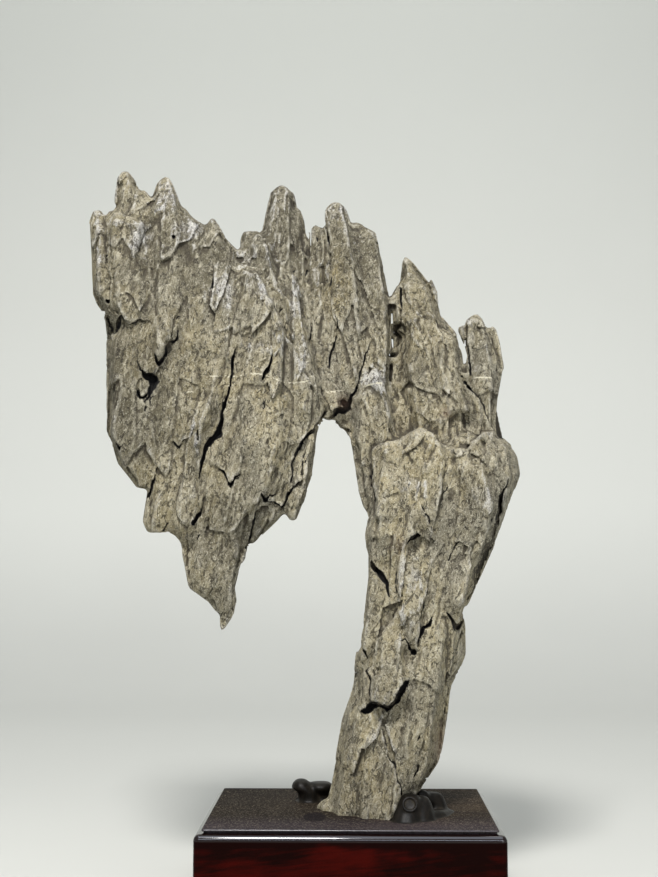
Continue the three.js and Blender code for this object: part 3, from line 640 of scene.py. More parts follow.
# Cracks, hollows and holes with no step beside them: stops as above, and a single stop is a pit.
CRACKS = [
    [(-221.5, 508, .5), (-218, 500.4, 1.3), (-213.5, 491.5, 2.2), (-210.4, 496, 1.8),
     (-208.2, 500.4, 1)],
    [(-208.2, 499, 1.4), (-207.4, 507.1, .7), (-200.8, 499.7, .6)],
    [(-215.2, 505, 1.2), (-214.2, 498, 1.7), (-214, 492, 1.2)],
    [(-211.5, 503, 1), (-211.5, 497, 1.3)],
    [(-219.6, 505, .5), (-217.6, 497, 1), (-216.4, 490, .5)],
    [(-189.2, 456.7, 1), (-185.9, 452.2, 2), (-180, 450.7, 4), (-177, 448.5, 4.5),
     (-178.5, 442.6, 3.5), (-180.7, 435.2, 2), (-183.7, 428.2, 1)],
    [(-193.4, 437.4, 1), (-189.6, 432.2, 1.8), (-185.2, 432.9, 1.4), (-183, 435.9, .8)],
    [(-192.2, 438.1, .8), (-185.8, 430.9, 1.2), (-183.4, 425.3, .9), (-184.2, 415.7, 1.2)],
    [(-177.8, 433.3, 1), (-181.8, 425.3, .7), (-185, 415.7, .8)],
    [(-210.6, 390.9, 1), (-207.4, 385.3, 1.5), (-204.2, 390.1, .4)],
    [(-157.8, 341.3, .6), (-155.4, 326.1, .5), (-162.6, 319.7, .6), (-167.4, 311.7, 1.2)],
    [(-169.8, 405.3, .2), (-160.2, 394.9, .3)],
    [(-169.8, 376.5, .3), (-166.6, 370.1, .7), (-162.6, 374.1, .3)],
    [(-137, 402.9, 1.2), (-136.2, 393.3, 1.4)],
    [(-103.6, 494.5, .4), (-100.6, 487, .8), (-97, 481.2, .4)],
    [(-129, 359.7, .4), (-122.6, 353.3, .4)], [(-133.8, 308.5, .9), (-136.2, 302.1, .6)],
    [(-133.8, 308.5, .5), (-124, 306, .3)],
    [(-65.8, 345.3, .6), (-71.4, 342.1, .8), (-75.4, 338.9, 1.8), (-79.4, 344.5, 1.6)],
    [(-37.8, 394.9, .6), (-40.2, 380.5, .8), (-42.6, 372.5, 1), (-43.4, 361.3, .8)],
    [(-33, 385.3, .7), (-41, 372.5, .9)], [(-47.4, 335.7, .4), (-54.6, 329.3, .5)],
    [(-89.8, 434.9, .3), (-83.4, 426.1, .7), (-77, 426.1, 1), (-77.8, 421.3, .6)],
    [(-63.4, 444.5, .8), (-65.8, 437.3, .8)],
    [(-146.6, 439.7, .3), (-138.6, 436.5, .8), (-130.6, 440.5, 1)], [(-221.5, 562.8, 1.8)],
    [(-220, 520.9, 2.2)], [(-230.4, 545, 1.5)], [(-160, 579.8, 2.5)], [(-180.7, 549.4, 1.2)],
    [(-14.2, 577.4, 1.2)], [(36.3, 509, 1)], [(100.5, 450.4, 1.2)], [(89.8, 484.4, 1)],
    [(126.3, 320.6, 1.2)], [(110.5, 300.5, .8)], [(115.2, 293.8, 1)],
    [(-166.6, 563.5, .5), (-160.7, 568.7, .6)], [(-125, 570.2, 1), (-121.4, 574.6, .8)],
    [(-134, 524.2, .7), (-130.3, 527.9, .6)], [(-111, 503.4, .8), (-107.3, 506.4, .5)],
    [(-157, 503.4, .8), (-154.8, 507.1, .7), (-149.6, 506.4, .3)],
    [(-197, 480.4, .3), (-192.6, 467.8, .5), (-189.6, 457.4, .8)],
    [(-208.2, 482.6, .2), (-204.5, 470.8, .3), (-199.3, 458.9, .3), (-193.4, 437.4, .6)],
    [(-117.7, 553.9, .3), (-114, 542, .4)], [(-117.7, 496, .3), (-114, 487, .4)],
    [(-84.3, 496, .5), (-83.6, 490, .6)], [(-63.5, 509.4, 1), (-59.9, 512.3, .8)],
    [(-51, 546.4, 1), (-45, 551, .8)], [(-38.3, 547.9, 1.4), (-39.8, 543.5, 1)],
    [(-30, 578.2, .9), (-29.3, 573.6, .9)],
    [(-16.4, 541.8, .8), (-18, 532.7, .9), (-20.2, 528.2, .6)],
    [(-17.2, 525.2, .5), (-14.2, 512, .6), (-11.9, 503.9, .7), (-10.4, 494.8, 1),
     (-14.2, 488.8, .5)],
    [(-9.6, 493.3, .5), (-13.4, 481.2, 1), (-16.4, 469.1, 1.6), (-18, 458.5, .8)], [(-5, 426, 4)],
    [(110.4, 498.7, .5), (113, 486.2, .6), (111.3, 471.8, .5)],
    [(85.4, 414.5, .6), (88.9, 418.1, .6)], [(48.8, 365, .4), (51.5, 356, .5), (53.3, 349, .4)],
    [(89.3, 365.8, .5), (87.5, 358.7, .5)],
    [(93, 384.4, .6), (97.4, 373.8, .7), (102.7, 368.4, .5)], [(102.4, 317.6, .6), (104, 310, .9)],
    [(98.6, 302.9, .6), (91.3, 293.8, 1), (87.7, 285.5, .8)],
    [(141.4, 361.3, .5), (142.3, 354.3, .6), (136.1, 343.6, 2), (133.4, 329.4, 2.5),
     (131.6, 320.6, 1.8), (126.9, 303.8, 2), (121.4, 295.6, 4), (118.7, 286.5, 3),
     (114.1, 277.3, 4), (112.3, 270, 4), (111.3, 262.7, 2), (107.7, 256.2, 1.5),
     (103.1, 249.8, 1)],
    [(40.1, 293.8, .6), (42, 291, .6)],
    [(18, 286.5, 1), (20.8, 279.1, 3), (25.4, 275.5, 3), (29.1, 270, 3), (32.8, 264.5, 2),
     (33.7, 253.5, 1)],
    [(75.3, 239, .5), (72.6, 233.5, 1), (69.8, 228, 2), (65, 226.2, 1.5), (62.7, 219.8, 1.5)],
    [(56.2, 205.3, 3)], [(44.4, 213.5, .8), (49, 215.7, 1), (50.8, 211.6, 1), (52.6, 208, 1.6)],
    [(54.2, 197, .3), (51.5, 180.8, .5)],
    [(85.8, 238.9, .6), (91.3, 231.6, 2), (95, 225.2, 3), (98.6, 230.7, 2.5), (100.4, 236.2, 2)],
    [(11.5, 207, 1.5), (16, 199.8, 1)], [(5.5, 188, 1.2), (7.3, 175.3, .7), (7.9, 166.2, .5)],
    [(16.7, 145, .4), (19.5, 134.3, .5), (21.3, 123.6, .6), (20.4, 112.9, .4)],
    [(59.5, 128.9, .9), (61.3, 131.6, .9)], [(58.5, 129, .3), (61.3, 135, .4), (65.8, 135.6, .3)],
    [(59.8, 109.3, .5), (59.5, 103.9, 1.2), (55.8, 96, 1)], [(54, 91.4, .5), (52.2, 82.5, .4)],
    [(67.6, 95, 2), (64, 86.1, 2), (61.3, 80.8, 2)],
]

# Gaps between two spires that daylight shows through, and notches in the outline.
DAYLIGHT = [
    [(39, 476.5, .6), (38.7, 484, .8)], [(38.4, 499, .9), (38.4, 508, .7)],
    [(-35.2, 570, .5), (-35.2, 600, .9)],
    [(95, 514, 1.4), (96.3, 498, 1), (97.6, 491.2, .7), (99.5, 485.4, 1), (102.6, 477, 1.5),
     (104, 469, 2.2), (103.6, 462.4, 1.2)],
    [(142, 463, .5), (139.5, 453.9, 2.1), (138, 442.5, 2.6), (135.8, 428.9, 3),
     (136.3, 410.8, 5.3), (137.5, 399.6, 6), (141.1, 398.4, 5.1), (144.8, 392.8, 3.4)],
    [(-240.5, 591, 3), (-240, 577, 3.4), (-239, 560, 3.6), (-238.3, 544.5, 3.6), (-237, 531, 3.2),
     (-235.5, 520, 2)],
]

# Blunt ends and bulges of the outline, a layer thick: stops as above.
GROWN = [
    [(-205, 603, 8.8), (-205.5, 629.4, 8.3)], [(-27.6, 412.1, 3.8), (-30.7, 402.1, 2.5)],
    [(-12.3, 410.7, 2.1), (-1.5, 402.5, 2.1), (3.9, 391.2, 1.3)],
    [(10.1, 348.1, 2.1), (14.5, 334.7, 2.5), (18.1, 327.5, 1.7)],
    [(38.8, 521.3, 2.2), (38.3, 511.2, 1.4)], [(39, 496, 1.6), (39, 488, 1.6)],
    [(36, 515, .5), (36.2, 504, .9), (36.4, 478, .9)],
    [(41.9, 518, .8), (41.7, 508, 1.8), (41.7, 476, 1.8)], [(-220.5, 505, 2.2), (-215, 497, 2.5)],
    [(38, 475.5, 1.7), (38.3, 463.7, 1.7)],
    [(102, 492.7, 3.6), (104.2, 483.5, 2.6), (107.1, 472.5, 1.7)],
    [(-104, 246.8, 1.9), (-106.1, 237.1, 2.1), (-111.4, 228.2, 1.5), (-113.1, 224.7, .8)],
    [(-91.4, 300.8, 1.7), (-94, 291.9, 1.9), (-95.3, 283.9, 1)],
    [(80.3, 136.9, 1.7), (78.5, 124, 2.1), (75.8, 111.9, 2.5), (68.2, 100.7, 2.1),
     (62.5, 90.4, 1.7)],
    [(74, 537.8, 1.3), (78, 527.6, 1.7), (79.3, 517.5, 1.3)],
    [(-232.7, 528.8, 1.7), (-228.8, 518.6, 1.7), (-226, 514, 1.3)],
]

# Broad patches of colour on the face: [across, height, half width, half height, amount].
# Pale frost on the layers, with painted highlight where tops and rims face the light.
FROST_AND_HIGHLIGHT = [
    (-207, 622, 14, 14, .35), (-168, 612, 14, 18, .6), (-228, 585, 8, 26, .5),
    (-190, 580, 12, 14, .8), (-145, 585, 16, 12, .7), (-116, 530, 16, 14, .7),
    (-85, 532, 16, 14, .4), (-95, 560, 10, 10, .6), (-78, 478, 20, 8, .5), (-112, 520, 8, 20, .5),
    (-64, 610, 14, 16, .35), (-12, 600, 14, 12, .45), (-50, 520, 5, 20, .8), (-42, 470, 5, 26, .7),
    (-30, 545, 12, 14, .35), (23, 448, 10, 12, .9), (10, 575, 14, 14, .3), (-142, 400, 6, 24, .5),
    (-68, 565, 8, 20, .4), (118, 345, 14, 12, .5), (58, 350, 14, 12, .6), (57, 270, 10, 20, .6),
    (30, 120, 10, 30, .35), (52, 230, 8, 20, .4), (-60, 484, 10, 8, .5), (-200, 590, 16, 8, .4),
    (104, 505, 8, 10, .4), (68, 515, 10, 20, .3),
]
OCHRE = [
    (-12, 535, 10, 22, .9), (70, 400, 40, 30, .5), (-75, 430, 30, 20, .35),
    (-150, 480, 14, 16, .4), (12, 120, 14, 40, .5), (-110, 450, 30, 24, .3), (85, 380, 20, 14, .4),
    (-182, 360, 16, 12, .5), (70, 480, 18, 30, .35), (-190, 480, 20, 30, .3),
    (30, 180, 14, 20, .3), (-20, 425, 12, 10, .5),
]
# Painted shade: broad patches where the stone is darkened as if less light reached it, over the
# canopy and the peaks.
SHADE_PATCHES = [
    (-140, 570, 100, 60, 1.1), (-60, 585, 60, 65, 1.2), (0, 560, 60, 70, 1.1),
    (-200, 430, 60, 90, 1.2), (60, 480, 30, 60, .7), (-110, 440, 50, 60, .2),
    (110, 470, 16, 50, .8), (30, 100, 50, 50, .35), (-100, 310, 50, 50, .9), (40, 430, 30, 30, .4),
    (110, 350, 20, 50, .4),
]
RUST = [(-5, 426, 5, 5, 1), (87, 417, 4, 4, .6), (81, 123, 6, 16, .6), (44, 300, 6, 8, .3)]


def chart_axes():
    across = CHART["left"] + CHART["cell"] * np.arange(CHART["across"], dtype=np.float32)
    up = CHART["low"] + CHART["cell"] * np.arange(CHART["up"], dtype=np.float32)
    return across, up


def trace(stops, reach):
    """Distance, width and side of a line, in the part of the chart within its reach."""
    across, up = chart_axes()
    stops = np.array(stops, np.float32)
    low = stops[:, :2].min(0) - reach
    high = stops[:, :2].max(0) + reach
    part = (
        slice(*np.searchsorted(across, (low[0], high[0]))),
        slice(*np.searchsorted(up, (low[1], high[1]))),
    )
    x, z = np.meshgrid(across[part[0]], up[part[1]], indexing="ij")
    distance = np.full(x.shape, 1e3, np.float32)
    width = np.zeros(x.shape, np.float32)
    side = np.zeros(x.shape, np.float32)
    if len(stops) == 1:
        stops = np.concatenate([stops, stops + (.01, 0, 0)])
    for start, end in zip(stops[:-1], stops[1:]):
        way = end[:2] - start[:2]
        length = float(np.hypot(*way))
        along = ((x - start[0]) * way[0] + (z - start[1]) * way[1]) / length ** 2
        held = np.clip(along, 0, 1)
        far = np.hypot(x - start[0] - held * way[0], z - start[1] - held * way[1])
        over = np.abs(along - held) * length
        cross = (way[0] * (z - start[1]) - way[1] * (x - start[0])) / length
        closer = far < distance - 1e-4
        distance = np.where(closer, far, distance)
        width = np.where(closer, start[2] + (end[2] - start[2]) * held, width)
        turn = np.clip(-cross / LINE["turns_in"], -1, 1)
        side = np.where(closer, turn * np.clip(1 - over / LINE["runs_out"], 0, 1), side)
    return part, distance, width, side


def draw_face():
    """The chart of the face: how far it is raised, and its cracks' nearness and width."""
    size = (CHART["across"], CHART["up"])
    raised = np.zeros(size, np.float32)
    inside = np.full(size, -9.0, np.float32)
    opening = np.full(size, 1.0, np.float32)
    for step, fade, stops in LEDGES + [(0, 2, stops) for stops in CRACKS]:
        part, distance, width, side = trace(stops, max(3 * fade, 8))
        if step:
            fall = np.exp(-distance / fade) * step
            raised[part] += np.where(side > 0, 0.9, 0.5) * side * fall
        within = np.where(width > 0.05, width - distance, -9)
        nearer = within > inside[part]
        inside[part] = np.where(nearer, within, inside[part])
        opening[part] = np.where(nearer, np.maximum(width, 0.3), opening[part])
    return raised, inside, opening


def draw_patches(patches):
    across, up = chart_axes()
    total = np.zeros((len(across), len(up)), np.float32)
    for x, z, wide, high, amount in patches:
        away = ((across[:, None] - x) / wide) ** 2 + ((up[None, :] - z) / high) ** 2
        total = np.maximum(total, amount * np.exp(-away * 0.8))
    return total


def sighted(at, cell=CHART["cell"]):
    """Where the lines of sight through points meet the chart, in cells of this size."""
    reach = (at[:, 1] - EYE[1]) / -EYE[1]
    across = EYE[0] + (at[:, 0] - EYE[0]) / reach
    up = EYE[2] + (at[:, 2] - EYE[2]) / reach
    return (across - CHART["left"]) / cell, (up - CHART["low"]) / cell


def read_chart(chart, at):
    """The chart's value for points of the stone, along the line of sight."""
    i, k = sighted(at)
    i = np.clip(i, 0, chart.shape[0] - 1.001)
    k = np.clip(k, 0, chart.shape[1] - 1.001)
    i0, k0 = i.astype(np.int32), k.astype(np.int32)
    a, c = i - i0, k - k0
    near = chart[i0, k0] * (1 - a) + chart[i0 + 1, k0] * a
    far = chart[i0, k0 + 1] * (1 - a) + chart[i0 + 1, k0 + 1] * a
    return (near * (1 - c) + far * c).astype(np.float32)


def least_around(chart):
    """The least of the four places beside each place of a chart."""
    return np.minimum.reduce([np.roll(chart, shift, axis) for axis in (0, 1) for shift in (-1, 1)])


def front_of(at):
    """How near the viewer the stone comes along each line of sight."""
    coarse = CHART["coarse"]
    i, k = [cell.astype(np.int32) for cell in sighted(at, CHART["cell"] * coarse)]
    size = (CHART["across"] // coarse + 2, CHART["up"] // coarse + 2)
    front = np.full(size, 400, np.float32)
    np.minimum.at(front, (np.clip(i, 0, size[0] - 1), np.clip(k, 0, size[1] - 1)), at[:, 1])
    front = np.where(front > 300, least_around(front), front)
    return np.kron(front, np.ones((coarse, coarse), np.float32))[:CHART["across"], :CHART["up"]]


def sampled(block, field, at):
    """The values of a block's field at free points."""
    spot = at / block.step - block.low
    cell = np.clip(np.floor(spot).astype(np.int32), 0, np.array(field.shape) - 2)
    part = np.clip(spot - cell, 0, 1).astype(np.float32)
    return blended(field.ravel(), field.shape, [(c, c + 1) for c in cell.T], part)


def largest_part(points, faces):
    """The points and triangles of the biggest connected shell."""
    label = np.arange(len(points))
    edges = np.concatenate([faces[:, :2], faces[:, 1:], faces[:, ::2]])
    while True:
        low = np.minimum(label[edges[:, 0]], label[edges[:, 1]])
        lower = label.copy()
        np.minimum.at(lower, edges[:, 0], low)
        np.minimum.at(lower, edges[:, 1], low)
        lower = lower[lower]
        if (lower == label).all():
            break
        label = lower
    keep = label == np.bincount(label).argmax()
    moved = np.cumsum(keep) - 1
    return points[keep], moved[faces[keep[faces[:, 0]]]]


def jagged(at):
    """Points moved about a little, so that a line drawn through them turns ragged."""
    moved = at.copy()
    for axis, broad, fine, torn in ((0, 21, 22, 27), (2, 23, 24, 28)):
        moved[:, axis] += (
            0.9 * mottle(at, 8, broad) + 0.3 * mottle(at, 2.6, fine)
            + 0.6 * chips(at, (4, 9, 5), torn, 0))
    return moved


def pinch(at):
    """How much narrower a crack is here than drawn."""
    return 0.42 + 0.4 * mottle(at, 6, seed=25)


def blurred(chart, cells):
    """The chart averaged over an odd number of cells each way."""
    half = cells // 2
    for axis in (0, 1):
        chart = sum(np.roll(chart, shift, axis) for shift in range(-half, half + 1)) / cells
    return chart


def within_outline(points, faces):
    """How far inside the stone's outline each place is: close by it, and roughly further in."""
    across, up = sighted(points)
    covered = np.zeros((CHART["across"], CHART["up"]), np.float32)
    for x, z in zip(across[faces], up[faces]):
        i, k = np.ogrid[
            math.ceil(x.min()):math.floor(x.max()) + 1, math.ceil(z.min()):math.floor(z.max()) + 1]
        if not i.size or not k.size:
            continue
        sides = [
            (x[n] - x[n - 1]) * (k - z[n - 1]) - (z[n] - z[n - 1]) * (i - x[n - 1])
            for n in range(3)]
        held = (np.minimum.reduce(sides) >= 0) | (np.maximum.reduce(sides) <= 0)
        covered[i[0, 0]:i[-1, 0] + 1, k[0, 0]:k[0, -1] + 1][held] = 1
    charts = [
        (blurred(covered, cells) - 0.5) * cells * CHART["cell"]
        for cells in (EDGE_SOFT, EDGE_ROOM)]
    for stops in GROWN:
        part, distance, half, _ = trace(stops, 12)
        for chart in charts:
            chart[part] = np.maximum(chart[part], half - distance)
    return charts


def blunt_edges(block, outline):
    """Gives the stone's thin outer edges the thickness of a broken layer."""
    near, at = block.places(block.depth < EDGE_GRIP)
    solid = at[block.depth.ravel()[near] < 0]
    coarse = CHART["coarse"]
    side = CHART["cell"] * coarse
    size = (CHART["across"] // coarse + 1, CHART["up"] // coarse + 1)
    i, k = [cell.astype(np.int32) for cell in sighted(solid, side)]
    cell = np.clip(i, 0, size[0] - 1) * size[1] + np.clip(k, 0, size[1] - 1)
    cells = size[0] * size[1]
    count = np.bincount(cell, minlength=cells).reshape(size).astype(np.float32)
    total = np.bincount(cell, weights=solid[:, 1], minlength=cells).reshape(size)
    middle = blurred(total, 3) / np.maximum(blurred(count, 3), 1e-3)
    around = blurred(total, 9) / np.maximum(blurred(count, 9), 1e-3)
    middle = np.where(blurred(count, 3) > 0.2, middle, around)
    thick = np.minimum(blurred(count, 3), count) * block.step ** 3 / side ** 2
    spread = np.ones((coarse, coarse))
    middle, thick = [
        np.kron(chart, spread)[:CHART["across"], :CHART["up"]].astype(np.float32)
        for chart in (middle, thick)]
    thin = (outline > -1) & (thick < EDGE_THICKNESS)
    thin = read_chart(blurred(thin.astype(np.float32), 5), at)
    half = EDGE_THICKNESS / 2 * thin
    slab = np.maximum(np.abs(at[:, 1] - read_chart(middle, at)) - half, -read_chart(outline, at))
    slab = np.where(thin > 0.5, slab, 99)
    block.depth.ravel()[near] = np.minimum(block.depth.ravel()[near], slab)


def broken_layers(at):
    """How far layers, flakes and creases stand proud of the plain form."""
    layer = at.copy()
    layer[:, 0] -= lean_of(at[:, 0], at[:, 2]) * (at[:, 2] - 400)
    swell = mottle(layer, (38, 30, 90), seed=1)
    sway = mottle(layer, (14, 14, 40), seed=2)
    bent = layer + np.stack([4 * sway, 3 * swell, 6 * mottle(at, 22, seed=3)], 1)
    bent += 0.7 * mottle(at, 5.5, seed=11)[:, None]
    broad = chips(bent, (17, 22, 62), seed=4, droop=1.0)
    shaken = bent + 1.6 * mottle(at, 9, seed=5)[:, None]
    small = chips(shaken, (7, 9, 24), seed=6, droop=0.9)
    tiny = chips(bent, (3.4, 5, 10), seed=12, droop=0.9)
    busy = np.clip(0.55 + 0.6 * mottle(layer, (45, 40, 80), seed=7), 0.15, 1)
    ridge = mottle(layer, (3.2, 6, 15), seed=8)
    lumps = mottle(at, (5, 5, 6), seed=9)
    crease = 0.5 - np.abs(mottle(bent, (8, 11, 36), seed=10)) * 2
    relief = 1.7 * broad + 1.05 * busy * small + 0.3 * tiny + 0.3 * ridge + 0.2 * lumps
    return relief + (1.5 * swell + 0.7 * crease * busy)


def on_the_face(at, front):
    """1 on the side that faces the viewer, 0 where the stone lies well behind its front."""
    return 1 - np.clip(
        (at[:, 1] - read_chart(front, at) - FACE_DEPTH[0]) / (FACE_DEPTH[1] - FACE_DEPTH[0]), 0, 1)


def weather(block, outline, room, raised, inside, opening):
    """Splits the plain form into layers, flakes and cracks."""
    near, at = block.places(np.abs(block.depth) < WEATHER_REACH)
    depth = block.depth.ravel()[near]
    shown = on_the_face(at, front_of(at[np.abs(depth) < block.step]))
    torn = jagged(at)

    # Relief: full on the face, and shallow by the outline, which stays where it is.
    within = read_chart(outline, at * 0.7 + torn * 0.3)
    free = np.clip(read_chart(room, at) / RELIEF_LIMIT["room"], 0, 1)
    limit = RELIEF_LIMIT["at_outline"] + RELIEF_LIMIT["further_in"] * free
    depth = depth - limit * np.tanh(broken_layers(at) / limit)
    depth -= shown * (0.2 + 0.8 * free) * read_chart(raised, torn)
    depth -= 0.3 * (1 - free)
    depth = np.where(within > -3, np.maximum(depth, -1 - within), depth)

    # Cracks: as wide as drawn at the surface, and closing towards their depth.
    width = read_chart(opening, torn)
    deep = np.minimum(CRACK_DEPTH["least"] + CRACK_DEPTH["by_width"] * width, CRACK_DEPTH["most"])
    deep *= 0.15 + 0.85 * np.clip(within / 3, 0, 1)
    gap = np.maximum(width, 0.5) * (1 + np.minimum(depth, 0) / deep) - width
    gap += read_chart(inside, torn) - pinch(at)
    depth = np.where(shown > 0.3, np.maximum(depth, gap), depth)

    # Daylight: right through the stone. Nothing may grow out of the stone's own box.
    for stops in DAYLIGHT:
        part, distance, half, _ = trace(stops, 9)
        hole = np.full(raised.shape, -9, np.float32)
        hole[part] = half - distance
        depth = np.maximum(depth, read_chart(hole, at))
    block.depth.ravel()[near] = depth
    for axis, (low, high) in zip(block.axes(), zip(*STONE_BOX)):
        block.depth = np.maximum(block.depth, np.maximum(low - axis, axis - high))


def thin_out(piece, goal):
    """Joins the small triangles of flat places until the piece has about `goal` of them."""
    count = sum(len(face.vertices) - 2 for face in piece.data.polygons)
    modifier = piece.modifiers.new("thin", "DECIMATE")
    modifier.ratio = min(1, goal / count)
    modifier.use_collapse_triangulate = True
    shaped = piece.evaluated_get(bpy.context.evaluated_depsgraph_get()).to_mesh()
    points, faces = corners_of(shaped)
    bpy.data.objects.remove(piece)
    return points, faces


def fill_face(block, points, faces):
    """Levels the wide furrows of the face, but none that its outline or an opening shows."""
    radius, step = FACE_FILL["radius"], FACE_FILL["step"]
    reach = math.ceil(radius / step) + 1
    coarse = Block(points, faces, step=step, band=reach)
    coarse = coarse.offset(radius, reach).offset(-radius, reach).spread()
    near, at = block.places(block.depth < FACE_FILL["grip"])
    covered = (front_of(at[block.depth.ravel()[near] < 0]) < 300).astype(np.float32)
    for stops in DAYLIGHT:
        part, distance, _, _ = trace(stops, 8)
        covered[part] *= distance > 6
    for _ in range(FACE_FILL["clear"] * 2):
        covered = np.minimum(covered, least_around(covered))
    held = read_chart(covered, at)
    filled = sampled(coarse, coarse.depth, at) + FACE_FILL["proud"]
    filled += FACE_FILL["kept"] * (1 - held)
    block.depth.ravel()[near] = np.minimum(block.depth.ravel()[near], filled)


def make_stone():
    points, faces = corners_of(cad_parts["stone"].data)
    block = Block(points, faces, step=STONE_GRAIN).offset(NARROW_FILL)
    block = block.offset(-NARROW_FILL, 7.0).spread()
    fill_face(block, points, faces)
    outline, room = within_outline(points, faces)
    blunt_edges(block, outline)
    raised, inside, opening = draw_face()
    weather(block, outline, room, raised, inside, opening)
    rough = piece_of_polygons("stone_rough", *block.polygons())
    points, faces = largest_part(*thin_out(rough, STONE_TRIANGLES))
    stone = piece_of_polygons(
        "limestone", points, faces[:, ::-1].astype(np.int32), np.empty((0, 4), np.int32))
    near_face = on_the_face(points, front_of(points))
    # Where painted shade darkens the cracks: inside them, on the face and where it turns to the
    # viewer.
    crack = np.clip((read_chart(inside, jagged(points)) - pinch(points) + 0.45) / 0.7, 0, 1)
    rounded = block.softened(SWELLS["wide"])
    way = np.stack([
        sampled(block, rounded, points + side) - sampled(block, rounded, points - side)
        for side in np.eye(3, dtype=np.float32) * 3])
    facing = -way[1] / (np.linalg.norm(way, axis=0) + 1e-6)
    facing = np.clip((facing - CRACK_SHADE_FACING["from"]) / CRACK_SHADE_FACING["over"], 0, 1)
    marks = {
        "crest": sampled(block, block.softened(SWELLS["fine"]), points),
        "shoulder": sampled(block, rounded, points),
        "crack": crack * near_face * facing,
    }
    for name, patches in (("frost", FROST_AND_HIGHLIGHT), ("ochre", OCHRE), ("rust", RUST), ("dusk", SHADE_PATCHES)):
        marks[name] = read_chart(draw_patches(patches), points) * near_face
    for name, values in marks.items():
        held = stone.data.attributes.new(name, "FLOAT", "POINT")
        held.data.foreach_set("value", values.astype(np.float32))
    return stone


# White veins: [left end, right end, course from end to end as parts of the swing, height].
VEIN_SWING = 0.006
VEINS = [
    (-0.122, -0.032,
     [(0, .45), (.2, .45), (.42, .6), (.52, .55), (.62, .3), (.75, .05), (.9, .1), (1, .35)],
     0.4435),
    (-0.142, -0.133, [(0, .5), (1, .5)], 0.430),
    (-0.022, -0.004, [(0, .4), (1, .6)], 0.4335),
    (0.012, 0.032, [(0, .35), (.45, .6), (1, .6)], 0.4385),
    (0.108, 0.130, [(0, .5), (.6, .55), (1, .4)], 0.4465),
]


def flakes(finish, size, stretch, shift, lean, ragged=0.8):
    """Thin scales `size` across with torn edges: one value for each scale, and its edge."""
    at = finish.spot(size, stretch, shift, lean)
    ruffle = finish.paint.add(
        "ShaderNodeTexNoise", None,
        {"Vector": at, "Scale": 1.8, "Detail": 4.0, "Roughness": 0.65}, "Color")
    torn = finish.paint.add(
        "ShaderNodeVectorMath", {"operation": "MULTIPLY_ADD"},
        {0: ruffle, 1: (ragged,) * 3, 2: at})
    value = finish.paint.add("ShaderNodeTexVoronoi", None, {"Vector": torn, "Scale": 1.0}, "Color")
    edge = finish.paint.add(
        "ShaderNodeTexVoronoi", {"feature": "DISTANCE_TO_EDGE"}, {"Vector": torn, "Scale": 1.0})
    return value, edge


